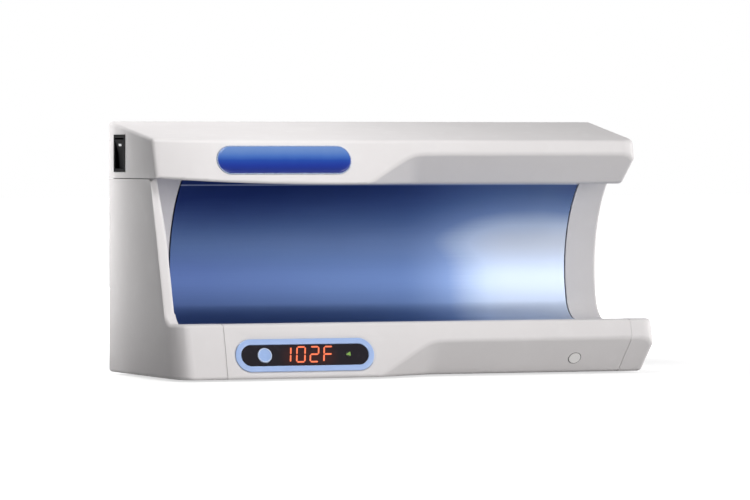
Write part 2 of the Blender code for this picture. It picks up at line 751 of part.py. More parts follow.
# Bay ceiling: closes the hood from below and carries the power board
ceiling_low = HOOD_FLOOR + GAP
ceiling_top = ceiling_low + CEILING_THICK
ceiling_back = bay_curve(0, HOOD_FLOOR)[0][0] - CEILING_LAP
ceiling = casing("bay_ceiling", ceiling_low, ceiling_top, HOOD_RIDGE, HOOD_FLOOR, creased_corner, WALL + GAP,
                 ceiling_back)
post_spots = []
for i in (-1, 1):
    for j in (-1, 1):
        post_spots.append((POWER_X + i * (POWER_SIZE[0] / 2 - POST_INSET),
                           POWER_DEPTH + j * (POWER_SIZE[1] / 2 - POST_INSET)))
level_frame = face_frame(place(0, 0, 0), (1, 0, 0), (0, 1, 0))
board_low = ceiling_top + POST_HEIGHT + GAP
board_top = board_low + BOARD_THICK
for x, depth in post_spots:
    centre = (x, -depth)
    add(ceiling, slab("post", level_frame, disc(POST_DIAMETER, centre), ceiling_low + GAP, board_low - GAP))
    bore = disc(SCREW_SHANK + 2 * GAP, centre)
    cut(ceiling, slab("bore", level_frame, bore, ceiling_low + CEILING_THICK / 2, board_low))
finish(ceiling, PLASTIC, 0.5)


# Frame plates inside the end mouldings
def frame_plate(name, x0):
    """C-shaped steel plate that fills the section between the bay and the casing."""
    inset = WALL + GAP
    obj = lower_casing(name, inset, REAR_THICK + GAP, HOOD_FLOOR - SEAM - GAP)
    trim(obj, place(x0, 0, 0), (-1, 0, 0))
    trim(obj, place(x0 + FRAME_THICK, 0, 0), (1, 0, 0))
    cut(obj, bay_tool(inset))
    trim(obj, place(0, COVER_BACK - GAP, 0), (0, -1, 0))
    return finish(obj, STEEL, 0.35, 1.0)


frame_plate("left_frame_plate", LEFT_SEAM - 2 * SEAM - FRAME_THICK)
frame_plate("right_frame_plate", RIGHT_SEAM + 2 * SEAM)

# Rear cover with countersunk screw holes, keyholes and the inlet opening
cover_x = WIDTH / 2 - WALL - 2 * GAP
rear_low = WALL + GAP
rear_high = HEIGHT - (WALL + GAP) / math.cos(TOP_SLOPE) - REAR_THICK * math.tan(TOP_SLOPE)
rear = box("rear_cover", (-cover_x, cover_x), (0, REAR_THICK), (rear_low, rear_high))


def inlet_outline(grow):
    """Inlet section, with its two upper corners cut off."""
    a = INLET_SIZE[0] / 2 + grow
    b = INLET_SIZE[1] / 2 + grow
    c = INLET_CHAMFER
    points = [(-a, -b), (a, -b), (a, b - c), (a - c, b), (c - a, b), (-a, b - c)]
    return [(p - INLET_X, q + INLET_Z) for p, q in points]


cut(rear, slab("inlet_hole", rear_frame, inlet_outline(GAP), -2 * REAR_THICK, REAR_THICK))
for side in (-1, 1):
    head = (side * KEYHOLE_X, KEYHOLE_Z)
    neck = (side * KEYHOLE_X, KEYHOLE_Z + KEYHOLE_RISE / 2)
    tip = (side * KEYHOLE_X, KEYHOLE_Z + KEYHOLE_RISE)
    slot = rectangle((KEYHOLE_NECK, KEYHOLE_RISE), neck)
    for outline in (disc(KEYHOLE_HEAD, head), slot, disc(KEYHOLE_NECK, tip)):
        cut(rear, slab("keyhole", rear_frame, outline, -2 * REAR_THICK, REAR_THICK))


def cone(name, frame, centre, wide, narrow, low, high):
    """Tapered round solid between two heights above a face."""
    upper = [frame @ Vector((a, b, high)) for a, b in disc(wide, centre)]
    lower = [frame @ Vector((a, b, low)) for a, b in disc(narrow, centre)]
    return make(name, loft(lower, upper))


boss_spots = hood_bosses + [left_boss, right_boss]
neck_size = SCREW_SHANK + 2 * GAP
sink_narrow = SCREW_SHANK + 2 * SINK_CLEAR
sink_wide = SCREW_HEAD + 2 * SINK_CLEAR + 2 * GAP * (SCREW_HEAD - SCREW_SHANK) / (REAR_THICK - GAP)
for spot in boss_spots:
    centre = (-spot[0], spot[1])
    cut(rear, slab("screw_hole", rear_frame, disc(neck_size, centre), -2 * REAR_THICK, REAR_THICK))
    cut(rear, cone("sink", rear_frame, centre, sink_wide, sink_narrow, -REAR_THICK, GAP))
finish(rear, STEEL, 0.45, 0.6)

for number, spot in enumerate(boss_spots, 1):
    centre = (-spot[0], spot[1])
    screw = cone(f"rear_screw_{number}", rear_frame, centre, SCREW_HEAD, SCREW_SHANK, -REAR_THICK, -GAP)
    shank = disc(SCREW_SHANK, centre)
    add(screw, slab("shank", rear_frame, shank, -REAR_THICK - SCREW_LENGTH, -REAR_THICK / 2))
    finish(screw, STEEL, 0.3, 1.0)

# Base plate and feet
base_left = LEFT_SEAM + SEAM / 2
base_right = RIGHT_SEAM - SEAM_SLANT - SEAM / 2
base = box("base_plate", (base_left, base_right), (REAR_THICK + GAP, COVER_BACK - GAP),
           (BASE_RAISE, BASE_RAISE + BASE_THICK))
finish(base, STEEL, 0.5, 0.6)
number = 0
for x in (base_left + FOOT_INSET, base_right - FOOT_INSET):
    for depth in (FOOT_INSET, COVER_BACK - FOOT_INSET):
        number += 1
        pad_outline = disc(FOOT_DIAMETER, (x, -depth))
        foot = slab(f"foot_{number}", level_frame, pad_outline, -FOOT_LIFT, BASE_RAISE - GAP)
        finish(foot, BLACK, 0.9)

# Heat liner, heater mats and insulation
liner_left = LEFT_SEAM + SEAM / 2
liner_right = RIGHT_SEAM - SEAM / 2
liner_top = HOOD_FLOOR - GAP
inner = bay_curve(0, liner_top) + [(LIP_BACK - GAP, BAY_FLOOR)]
outer = bay_curve(LINER_THICK, liner_top) + [(LIP_BACK - GAP, BAY_FLOOR - LINER_THICK)]
liner = across("heat_liner", inner + outer[::-1], liner_left, liner_right)
finish(liner, (0.30, 0.38, 0.55), 0.28, 1.0)


def curved_sheet(name, offset, thick, low, high):
    """Sheet that follows the bay's arc between two heights, at an offset behind it."""
    points = []
    for radius, order in ((BAY_RADIUS + offset, 1), (BAY_RADIUS + offset + thick, -1)):
        arc = []
        for i in range(ARC_STEPS + 1):
            z = low + (high - low) * i / ARC_STEPS
            arc.append((BAY_DEPTH - math.sqrt(radius ** 2 - (z - BAY_HEIGHT) ** 2), z))
        points += arc[::order]
    return across(name, points, liner_left + MAT_MARGIN, liner_right - MAT_MARGIN)


mat_offset = LINER_THICK + GAP
mat_high = HOOD_FLOOR - 2 * WALL
mat_low = BAY_FLOOR + FLOOR_FILLET
pad_high = mat_high - WALL
pad_offset = mat_offset + MAT_THICK + GAP
finish(curved_sheet("wall_heater_mat", mat_offset, MAT_THICK, mat_low, mat_high), COPPER_RED, 0.7)
finish(curved_sheet("wall_insulation", pad_offset, WALL_PAD_THICK, mat_low, pad_high), PAD_WHITE, 0.95)
mat_top = BAY_FLOOR - LINER_THICK - GAP
mat_floor = mat_top - MAT_THICK
pad_top = mat_floor - GAP
floor_back = BAY_DEPTH - math.sqrt((BAY_RADIUS - FLOOR_FILLET) ** 2 - (BAY_HEIGHT - mat_low) ** 2)
floor_span = (floor_back, COVER_BACK - GAP)
mat_span = (liner_left + MAT_MARGIN, liner_right - MAT_MARGIN)
finish(box("floor_heater_mat", mat_span, floor_span, (mat_floor, mat_top)), COPPER_RED, 0.7)
pad = box("floor_insulation", mat_span, floor_span, (pad_top - FLOOR_PAD_THICK, pad_top))
sensor_depth = (floor_back + COVER_BACK) / 2
cutout_centre = (CUTOUT_X, -sensor_depth)
sensor_centre = (SENSOR_X, -sensor_depth)
cutout_hole = disc(CUTOUT_SIZE[0] + 2 * POCKET_CLEAR, cutout_centre)
sensor_hole = rectangle([side + 2 * POCKET_CLEAR for side in SENSOR_SIZE[:2]], sensor_centre)
for outline in (cutout_hole, sensor_hole):
    cut(pad, slab("pocket", level_frame, outline, pad_top - 2 * FLOOR_PAD_THICK, pad_top + FLOOR_PAD_THICK))
finish(pad, PAD_WHITE, 0.95)
cutout_outline = disc(CUTOUT_SIZE[0], cutout_centre)
sensor_outline = rectangle(SENSOR_SIZE, sensor_centre)
cutout = slab("thermal_cutout", level_frame, cutout_outline, pad_top - CUTOUT_SIZE[1], pad_top)
finish(cutout, BLACK, 0.5)
sensor = slab("temperature_sensor", level_frame, sensor_outline, pad_top - SENSOR_SIZE[2], pad_top)
finish(sensor, (0.6, 0.5, 0.2), 0.5)

# Power board and what stands on it
power = slab("power_board", level_frame, rectangle(POWER_SIZE, (POWER_X, -POWER_DEPTH)), board_low, board_top)
for x, depth in post_spots:
    hole = disc(SCREW_SHANK + 2 * GAP, (x, -depth))
    cut(power, slab("hole", level_frame, hole, board_low - GAP, board_top + GAP))
finish(power, BOARD_GREEN, 0.45)
pan_height = SCREW_SHANK / 2
for number, (x, depth) in enumerate(post_spots, 1):
    head_low = board_top + GAP
    screw = slab(f"power_board_screw_{number}", level_frame, disc(SCREW_HEAD, (x, -depth)), head_low,
                 head_low + pan_height)
    shank = disc(SCREW_SHANK, (x, -depth))
    add(screw, slab("shank", level_frame, shank, board_low - POST_HEIGHT + GAP, head_low + pan_height / 2))
    finish(screw, STEEL, 0.3, 1.0)
part_low = board_top + GAP
power_left = POWER_X - POWER_SIZE[0] / 2
power_right = POWER_X + POWER_SIZE[0] / 2


def on_board(name, size, x, depth, colour, roughness):
    """Rectangular component on the power board."""
    obj = slab(name, level_frame, rectangle(size, (x, -depth)), part_low, part_low + size[2])
    return finish(obj, colour, roughness)


terminal_x = power_left + TERMINAL_SIZE[0] / 2 + GAP
transformer_x = terminal_x + TERMINAL_SIZE[0] / 2 + POST_DIAMETER + TRANSFORMER_SIZE[0] / 2
relay_x = transformer_x + TRANSFORMER_SIZE[0] / 2 + POST_INSET + RELAY_SIZE[0] / 2
output_x = power_right - OUTPUT_SIZE[0] / 2 - GAP
relay_depth = POWER_DEPTH - POWER_SIZE[1] / 4
capacitor_depth = POWER_DEPTH + POWER_SIZE[1] / 4
on_board("terminal_block", TERMINAL_SIZE, terminal_x, POWER_DEPTH, (0.03, 0.12, 0.06), 0.5)
on_board("transformer", TRANSFORMER_SIZE, transformer_x, POWER_DEPTH, (0.75, 0.65, 0.10), 0.6)
on_board("relay", RELAY_SIZE, relay_x, relay_depth, (0.05, 0.12, 0.35), 0.4)
on_board("output_connector", OUTPUT_SIZE, output_x, POWER_DEPTH, (0.75, 0.73, 0.66), 0.5)
can = disc(CAPACITOR_SIZE[0], (relay_x, -capacitor_depth))
finish(slab("capacitor", level_frame, can, part_low, part_low + CAPACITOR_SIZE[1]), (0.05, 0.05, 0.10), 0.35)

# Power inlet: socket with three blades, its lip behind the rear cover
inlet = slab("power_inlet", rear_frame, inlet_outline(0), -INLET_LENGTH, 0)
lip_high = -REAR_THICK - GAP
add(inlet, slab("lip", rear_frame, inlet_outline(INLET_LIP), lip_high - REAR_THICK, lip_high))
cut(inlet, slab("socket", rear_frame, inlet_outline(-INLET_WALL), -INLET_POCKET, GAP))
for i, rise in ((-1, 0), (0, 1), (1, 0)):
    centre = (i * BLADE_PITCH - INLET_X, INLET_Z + (rise - 0.5) * BLADE_SIZE[1])
    blade = slab("blade", rear_frame, rectangle(BLADE_SIZE, centre), -INLET_POCKET - INLET_WALL,
                 BLADE_SIZE[2] - INLET_POCKET)
    add(inlet, blade)
finish(inlet, BLACK, 0.45)

# Rocker switch: frame with its pocket and pivot holes, and the paddle on its pivot pins
frame_obj = slab("rocker_frame", switch_frame, rectangle(SWITCH_SIZE), -SWITCH_LENGTH, BEZEL_PROUD)
add(frame_obj, slab("bezel", switch_frame, rectangle(BEZEL_SIZE), GAP, BEZEL_PROUD))
pocket = (PADDLE_SIZE[0] + 2 * GAP, PADDLE_SIZE[1] + 2 * PADDLE_SLACK)
cut(frame_obj, slab("pocket", switch_frame, rectangle(pocket), -POCKET_DEPTH, 2 * BEZEL_PROUD))
pivot = switch_frame @ Matrix.Translation((0, 0, -PIVOT_DEPTH))
pin_frame = pivot @ Matrix.Rotation(math.pi / 2, 4, "Y")
cut(frame_obj, slab("pivot_hole", pin_frame, disc(PIVOT_DIAMETER + 2 * GAP), -SWITCH_SIZE[0], SWITCH_SIZE[0]))
finish(frame_obj, BLACK, 0.4)

half = PADDLE_SIZE[1] / 2
edge = PIVOT_DEPTH - PADDLE_EDGE
dip = edge - PADDLE_DIP
keel = PIVOT_DIAMETER
paddle_profile = [(half, edge), (0, dip), (-half, edge), (-half, keel / 3), (-keel, -keel), (keel, -keel),
                  (half, keel / 3)]
paddle_ends = []
for side in (-1, 1):
    paddle_ends.append([Vector((side * PADDLE_SIZE[0] / 2, b, c)) for b, c in paddle_profile])
paddle = make("rocker_paddle", loft(*paddle_ends))
pin_local = Matrix.Rotation(math.pi / 2, 4, "Y")
pin_reach = (SWITCH_SIZE[0] + PADDLE_SIZE[0]) / 4
add(paddle, slab("pin", pin_local, disc(PIVOT_DIAMETER), -pin_reach, pin_reach))
finish(paddle, BLACK, 0.35)
paddle.matrix_world = pivot @ Matrix.Rotation(ROCKER_TILT, 4, "X")

# Display: ring, window, button, light, digits, control board
ring = slab("display_ring", display_frame, stadium(RING_SIZE), GAP - RING_SEAT, RING_PROUD)


def outer_face(one, two):
    """Edges on the ring's or badge's outer face."""
    return min(display_height(one), display_height(two)) > GAP


def display_height(point):
    """Height of a point above the display's face."""
    return (display_frame.inverted() @ point).z


cut(ring, slab("opening", display_frame, stadium(window_size), -WALL, WALL))
round_edges(ring, outer_face, RING_ROUND, 2)
finish(ring, (0.30, 0.45, 0.75), 0.3)

window_low = -RING_SEAT - WINDOW_THICK
window = slab("display_window", display_frame, stadium(window_size, -GAP), window_low + GAP, 0)
flange_outline = stadium(window_size, WINDOW_FLANGE)
add(window, slab("flange", display_frame, flange_outline, window_low, -RING_SEAT))
button_hole = disc(BUTTON_DIAMETER + 2 * GAP, (BUTTON_X, 0))
led_hole = disc(LED_DIAMETER + 2 * GAP, (LED_X, 0))
for outline in (button_hole, led_hole):
    cut(window, slab("hole", display_frame, outline, 2 * window_low, WALL))
finish(window, (0.01, 0.01, 0.015), 0.08)

flange_high = window_low - GAP
flange_low = flange_high - BUTTON_FLANGE
stem_low = flange_low - BUTTON_STEM
button_frame = display_frame @ Matrix.Translation((BUTTON_X, 0, 0))
identity = Matrix.Identity(4)
button = slab("button_cap", identity, disc(BUTTON_DIAMETER), flange_low, BUTTON_PROUD)
rim_radius = BUTTON_DIAMETER / 2 - 2 * GAP


def button_rim(one, two):
    """Edge round the button's outer face."""
    return min(one.z, two.z) > 0 and one.xy.length > rim_radius


round_edges(button, button_rim, BUTTON_PROUD / 2, 2)
add(button, slab("flange", identity, disc(BUTTON_DIAMETER + 4 * BUTTON_FLANGE), flange_low, flange_high),
    slab("stem", identity, disc(BUTTON_DIAMETER / 3), stem_low, flange_high))
finish(button, (0.35, 0.50, 0.80), 0.35)
button.matrix_world = button_frame

seat = GAP - CONTROL_DEPTH
contact = stem_low - BUTTON_TRAVEL - GAP
click_top = (seat + contact) / 2
click_outline = rectangle((BUTTON_DIAMETER / 2, BUTTON_DIAMETER / 2))
click = slab("button_switch", button_frame, click_outline, seat, click_top)
add(click, slab("plunger", button_frame, disc(BUTTON_DIAMETER / 3), click_top - GAP, contact))
finish(click, BLACK, 0.5)

led = slab("status_led", display_frame, disc(LED_DIAMETER, (LED_X, 0)), seat, GAP)
add(led, slab("collar", display_frame, disc(LED_DIAMETER * 1.25, (LED_X, 0)), seat, seat + BUTTON_FLANGE))
finish(led, (0.25, 0.65, 0.10), 0.25)
digits = slab("digit_display", display_frame, rectangle(DIGITS_SIZE, (DIGITS_X, 0)), seat, window_low - GAP)
finish(digits, (0.03, 0.03, 0.03), 0.4)

control_low = -CONTROL_DEPTH - BOARD_THICK
control = slab("control_board", display_frame, rectangle(CONTROL_SIZE), control_low, -CONTROL_DEPTH)
for side in (-1, 1):
    hole = disc(SCREW_SHANK + 2 * GAP, (side * post_x, 0))
    cut(control, slab("hole", display_frame, hole, -2 * CONTROL_DEPTH, -GAP))
finish(control, BOARD_GREEN, 0.45)
for number, side in enumerate((-1, 1), 1):
    centre = (side * post_x, 0)
    head_high = control_low - GAP
    head = disc(SCREW_HEAD, centre)
    screw = slab(f"control_board_screw_{number}", display_frame, head, head_high - pan_height, head_high)
    shank = disc(SCREW_SHANK, centre)
    add(screw, slab("shank", display_frame, shank, head_high - pan_height / 2, -WALL - 2 * GAP))
    finish(screw, STEEL, 0.3, 1.0)

# Badge and service plug
badge = slab("badge", badge_frame, stadium(BADGE_SIZE), GAP - BADGE_SEAT, BADGE_THICK - BADGE_SEAT)


def badge_rim(one, two):
    """Edges round the badge's outer face."""
    heights = [(badge_frame.inverted() @ point).z for point in (one, two)]
    return min(heights) > GAP


round_edges(badge, badge_rim, BADGE_THICK / 3, 2)
finish(badge, (0.06, 0.14, 0.45), 0.12)

plug = slab("service_plug", plug_frame, disc(PLUG_DIAMETER), -PLUG_HEAD, GAP)
add(plug, slab("barrel", plug_frame, disc(PLUG_BARREL[0]), -PLUG_HEAD - PLUG_BARREL[1], -PLUG_HEAD / 2))
finish(plug, PLASTIC, 0.5)


# Inner leads
def lead(name, route, colour):
    """Round lead along a smooth curve through its route of (x, depth, z) points."""
    points = [place(*spot) for spot in route]
    points = [2 * points[0] - points[1]] + points + [2 * points[-1] - points[-2]]
    path = []
    for i in range(1, len(points) - 2):
        for j in range(3):
            path.append(smooth_point(points[i - 1:i + 3], j / 3))
    path.append(points[-2])
    curve = bpy.data.curves.new(name, "CURVE")
    curve.dimensions = "3D"
    curve.bevel_depth = LEAD_DIAMETER / 2
    curve.bevel_resolution = 1
    curve.use_fill_caps = True
    spline = curve.splines.new("POLY")
    spline.points.add(len(path) - 1)
    for spot, point in zip(spline.points, path):
        spot.co = (*point, 1.0)
    obj = bpy.data.objects.new(name, curve)
    bpy.context.collection.objects.link(obj)
    return finish(obj, colour, 0.5)


def smooth_point(four, share):
    """Point between the middle two of four points, on a curve through them."""
    a, b, c, d = four
    return 0.5 * (2 * b + (c - a) * share + (2 * a - 5 * b + 4 * c - d) * share ** 2
                  + (3 * b - a - 3 * c + d) * share ** 3)


switch_tail = pivot @ Vector((0, 0, PIVOT_DEPTH - SWITCH_LENGTH - GAP))
tail_x = switch_tail.x
tail_depth = BACK_Y - switch_tail.y
terminal_left = power_left - GAP
terminal_z = part_low + TERMINAL_SIZE[2] / 2
output_right = output_x + OUTPUT_SIZE[0] / 2 + GAP
output_z = part_low + OUTPUT_SIZE[2] / 2
inlet_tail = INLET_LENGTH + GAP
lead("mains_lead", [(INLET_X, inlet_tail, INLET_Z), (INLET_X, inlet_tail + 6 * LEAD_STEP, INLET_Z),
                    (INLET_X - 4 * LEAD_STEP, inlet_tail + 13 * LEAD_STEP, INLET_Z - LEAD_STEP),
                    (INLET_X - 11 * LEAD_STEP, inlet_tail + 14 * LEAD_STEP, INLET_Z - 2 * LEAD_STEP),
                    (INLET_X - 18 * LEAD_STEP, inlet_tail + 8 * LEAD_STEP, SWITCH_Z - 3 * LEAD_STEP),
                    (tail_x + 6 * LEAD_STEP, tail_depth + LEAD_STEP, SWITCH_Z - 4 * LEAD_STEP),
                    (tail_x, tail_depth, SWITCH_Z - 4 * LEAD_STEP)], COPPER_RED)
lead("supply_lead", [(tail_x, tail_depth, SWITCH_Z + 5 * LEAD_STEP),
                     (tail_x + 6 * LEAD_STEP, tail_depth + LEAD_STEP, SWITCH_Z + 5 * LEAD_STEP),
                     (tail_x + 15 * LEAD_STEP, tail_depth + 9 * LEAD_STEP, SWITCH_Z + 4 * LEAD_STEP),
                     (tail_x + 24 * LEAD_STEP, tail_depth + 22 * LEAD_STEP, SWITCH_Z),
                     (terminal_left - 14 * LEAD_STEP, POWER_DEPTH - 8 * LEAD_STEP, terminal_z + LEAD_STEP),
                     (terminal_left - 6 * LEAD_STEP, POWER_DEPTH - LEAD_STEP, terminal_z),
                     (terminal_left, POWER_DEPTH, terminal_z)], COPPER_RED)
mat_radius = BAY_RADIUS + mat_offset + MAT_THICK / 2
mat_end = BAY_DEPTH - math.sqrt(mat_radius ** 2 - (mat_high - BAY_HEIGHT) ** 2)
drop_x = output_right + 16 * LEAD_STEP
lead("heater_lead", [(output_right, POWER_DEPTH, output_z),
                     (output_right + 6 * LEAD_STEP, POWER_DEPTH, output_z),
                     (output_right + 14 * LEAD_STEP, POWER_DEPTH - 6 * LEAD_STEP, output_z),
                     (drop_x, POWER_DEPTH - 16 * LEAD_STEP, output_z - LEAD_STEP),
                     (drop_x, ceiling_back + 4 * LEAD_STEP, ceiling_top + 7 * LEAD_STEP),
                     (drop_x, ceiling_back - 3 * LEAD_STEP, ceiling_top + LEAD_STEP),
                     (drop_x, mat_end - LEAD_STEP, mat_high + 4 * LEAD_STEP),
                     (drop_x, mat_end, mat_high + LEAD_DIAMETER / 2)], PAD_WHITE)
column_x = (LEFT_SEAM - half_width(0) + SIDE_WALL) / 2
column_depth = (REAR_THICK + BAY_DEPTH - BAY_RADIUS - WALL) / 2
board_tail = display_frame @ Vector((2 * POST_INSET - CONTROL_SIZE[0] / 2, 0, control_low - GAP))
tail = (board_tail.x, BACK_Y - board_tail.y, board_tail.z - FOOT_LIFT)
board_mid = (board_low + board_top) / 2
lead("display_cable", [(power_left - GAP, POWER_DEPTH + 14 * LEAD_STEP, board_mid),
                       (power_left - 10 * LEAD_STEP, POWER_DEPTH + 12 * LEAD_STEP, board_mid + 2 * LEAD_STEP),
                       (power_left - 22 * LEAD_STEP, POWER_DEPTH, board_mid + 3 * LEAD_STEP),
                       (column_x + 12 * LEAD_STEP, POWER_DEPTH - 18 * LEAD_STEP, board_mid + 2 * LEAD_STEP),
                       (column_x + 6 * LEAD_STEP, ceiling_back - 2 * LEAD_STEP, ceiling_top + 5 * LEAD_STEP),
                       (column_x + 2 * LEAD_STEP, ceiling_back - 11 * LEAD_STEP, HOOD_FLOOR),
                       (column_x, column_depth + 12 * LEAD_STEP, HOOD_FLOOR - 12 * LEAD_STEP),
                       (column_x, column_depth + 4 * LEAD_STEP, BAY_HEIGHT + 34 * LEAD_STEP),
                       (column_x, column_depth, BAY_HEIGHT + 12 * LEAD_STEP),
                       (column_x, column_depth, BAY_HEIGHT - 8 * LEAD_STEP),
                       (column_x, column_depth + 2 * LEAD_STEP, BAY_HEIGHT - 26 * LEAD_STEP),
                       (column_x, column_depth + 7 * LEAD_STEP, BAY_FLOOR + 6 * LEAD_STEP),
                       (column_x, column_depth + 16 * LEAD_STEP, BAY_FLOOR - 6 * LEAD_STEP),
                       (column_x, column_depth + 32 * LEAD_STEP, BAY_FLOOR - 16 * LEAD_STEP),
                       (column_x, COVER_BACK / 2, tail[2] + 4 * LEAD_STEP),
                       (column_x + LEAD_STEP, COVER_BACK - 20 * LEAD_STEP, tail[2] + LEAD_STEP),
                       (column_x + 4 * LEAD_STEP, COVER_BACK, tail[2]),
                       (column_x + 11 * LEAD_STEP, COVER_BACK + 8 * LEAD_STEP, tail[2]),
                       (tail[0] - 6 * LEAD_STEP, tail[1] - 10 * LEAD_STEP, tail[2] - 2 * LEAD_STEP),
                       (tail[0] - LEAD_STEP, tail[1] - 4 * LEAD_STEP, tail[2] - LEAD_STEP), tail], PAD_WHITE)
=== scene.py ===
"""Finished look of a tabletop fluid warming cabinet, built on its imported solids."""
import json
import math

import bmesh
import bpy
from mathutils import Matrix, Vector


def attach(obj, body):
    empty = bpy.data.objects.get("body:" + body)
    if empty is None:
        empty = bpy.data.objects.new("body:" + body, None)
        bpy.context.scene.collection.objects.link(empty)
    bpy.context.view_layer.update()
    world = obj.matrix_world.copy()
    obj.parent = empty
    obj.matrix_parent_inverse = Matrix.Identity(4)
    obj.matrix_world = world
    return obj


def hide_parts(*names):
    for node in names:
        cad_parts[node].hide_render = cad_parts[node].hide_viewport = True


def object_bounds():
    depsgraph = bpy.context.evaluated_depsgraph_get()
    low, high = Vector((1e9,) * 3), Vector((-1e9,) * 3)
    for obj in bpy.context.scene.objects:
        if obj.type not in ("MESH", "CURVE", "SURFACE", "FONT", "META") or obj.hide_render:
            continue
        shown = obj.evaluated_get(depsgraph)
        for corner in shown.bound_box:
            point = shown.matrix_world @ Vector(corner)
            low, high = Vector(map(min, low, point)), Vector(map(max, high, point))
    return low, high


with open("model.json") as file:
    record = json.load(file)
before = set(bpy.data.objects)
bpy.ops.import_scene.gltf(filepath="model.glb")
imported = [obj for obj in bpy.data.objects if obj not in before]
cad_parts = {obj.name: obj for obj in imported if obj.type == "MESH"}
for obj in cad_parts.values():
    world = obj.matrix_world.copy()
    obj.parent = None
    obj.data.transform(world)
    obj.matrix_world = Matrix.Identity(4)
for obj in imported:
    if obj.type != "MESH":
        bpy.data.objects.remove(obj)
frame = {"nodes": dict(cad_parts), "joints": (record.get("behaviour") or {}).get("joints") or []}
solids = frame["nodes"]
cad_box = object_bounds()


# Base plate: sheet steel under the bay, powder coated in light grey. It is cut
# flat, slides between the end mouldings and carries the four feet.
class Wire:
    """One socket of a finish; sums and products of wires add their Math nodes."""

    def __init__(self, tree, socket):
        self.tree = tree
        self.socket = socket

    def node(self, kind, settings, sockets, output=0):
        """Adds a node: its settings first, then the values or wires of its sockets."""
        made = self.tree.nodes.new(kind)
        for name, value in settings.items():
            if name == "stops":
                stops = made.color_ramp.elements
                while len(stops) < len(value):
                    stops.new(1.0)
                for stop, (position, shade) in zip(stops, value):
                    stop.position = position
                    stop.color = shade
            else:
                setattr(made, name, value)
        for name, value in sockets.items():
            if isinstance(value, Wire):
                self.tree.links.new(value.socket, made.inputs[name])
            else:
                made.inputs[name].default_value = value
        return Wire(self.tree, made.outputs[output])

    def sum(self, operation, first, second):
        return self.node("ShaderNodeMath", {"operation": operation}, {0: first, 1: second})

    def __add__(self, other):
        return self.sum("ADD", self, other)

    def __radd__(self, other):
        return self.sum("ADD", other, self)

    def __sub__(self, other):
        return self.sum("SUBTRACT", self, other)

    def __rsub__(self, other):
        return self.sum("SUBTRACT", other, self)

    def __mul__(self, other):
        return self.sum("MULTIPLY", self, other)

    def __rmul__(self, other):
        return self.sum("MULTIPLY", other, self)

    def tint(self, low, high):
        """Colour that goes from low to high as this wire goes from 0 to 1."""
        return self.node("ShaderNodeMix", {"data_type": "RGBA"}, {0: self, 6: low, 7: high}, 2)

    def step(self, low, high):
        """0 below low, 1 above high, and a soft step between them."""
        ends = {"Value": self, "From Min": low, "From Max": high}
        return self.node("ShaderNodeMapRange", {"interpolation_type": "SMOOTHSTEP"}, ends)


def rgb(red, green, blue):
    """A screen colour in the linear values that a shader takes."""
    linear = []
    for level in (red, green, blue):
        part = level / 255
        linear.append(part / 12.92 if part <= 0.04045 else ((part + 0.055) / 1.055) ** 2.4)
    return (*linear, 1.0)


def new_finish(name, fixed):
    """A material with its fixed values; also gives the place on the part and a way to lay wires."""
    material = bpy.data.materials.new(name)
    material.use_nodes = True
    tree = material.node_tree
    shader = tree.nodes["Principled BSDF"]
    for socket, value in fixed.items():
        shader.inputs[socket].default_value = value
    place = Wire(tree, tree.nodes.new("ShaderNodeTexCoord").outputs["Object"])

    def lay(socket, wire):
        tree.links.new(wire.socket, shader.inputs[socket])

    return material, place, lay


def grain(place, size, detail=2.0, run=(1.0, 1.0, 1.0)):
    """Cloudy noise with spots of the given size in metres, drawn out where run is below 1."""
    drawn = place.node("ShaderNodeVectorMath", {"operation": "MULTIPLY"}, {0: place, 1: run})
    return place.node("ShaderNodeTexNoise", {}, {"Vector": drawn, "Scale": 1 / size, "Detail": detail})


def relief(place, height, depth):
    """A surface that stands up by depth where height goes from 0 to 1."""
    return place.node("ShaderNodeBump", {}, {"Strength": 1.0, "Distance": depth, "Height": height})


def powder_coat(name, low, high):
    """Baked powder paint: an even orange peel, a slight mottle and fine specks."""
    finish, place, lay = new_finish(name, {"IOR": 1.48})
    peel = grain(place, 0.0011, 1.5)
    mottle = grain(place, 0.030, 3.0)
    specks = grain(place, 0.0005, 0.0).step(0.66, 0.74)
    lay("Base Color", (mottle * 0.7 + specks * 0.3).tint(low, high))
    lay("Roughness", 0.42 + peel * 0.16 + specks * 0.1)
    lay("Normal", relief(place, peel, 0.00006))
    return finish


def dress(finish, *names):
    """Gives solids of the frame their finish."""
    for name in names:
        for slot in solids[name].material_slots:
            slot.material = finish


base_coat = powder_coat("base_powder_coat", rgb(176, 178, 180), rgb(190, 191, 193))
dress(base_coat, "base_plate")


# Feet: four thin discs of black rubber under the base plate, each pressed into
# a hole in the sheet. The moulded rubber is dull, with dust in its pores.
def edge_smoother(sharp_from):
    """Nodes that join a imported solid's split triangles and smooth the edges below an angle."""
    tree = bpy.data.node_groups.new("edge_smoother", "GeometryNodeTree")
    for side in ("INPUT", "OUTPUT"):
        tree.interface.new_socket("Geometry", in_out=side, socket_type="NodeSocketGeometry")
    way = Wire(tree, tree.nodes.new("NodeGroupInput").outputs[0])
    bare = way.node("GeometryNodeRemoveAttribute", {}, {"Geometry": way, "Name": "custom_normal"})
    joined = way.node("GeometryNodeMergeByDistance", {}, {"Geometry": bare, "Distance": 2e-6})
    fold = way.node("GeometryNodeInputMeshEdgeAngle", {}, {})
    sharp = way.node("FunctionNodeCompare", {"operation": "GREATER_THAN"}, {0: fold, 1: sharp_from})
    shaded = joined
    for domain, picked, soft in (("FACE", True, True), ("EDGE", True, True), ("EDGE", sharp, False)):
        parts = {"Geometry": shaded, "Selection": picked, "Shade Smooth": soft}
        shaded = way.node("GeometryNodeSetShadeSmooth", {"domain": domain}, parts)
    tree.links.new(shaded.socket, tree.nodes.new("NodeGroupOutput").inputs[0])
    return tree


smoother = edge_smoother(math.radians(38))


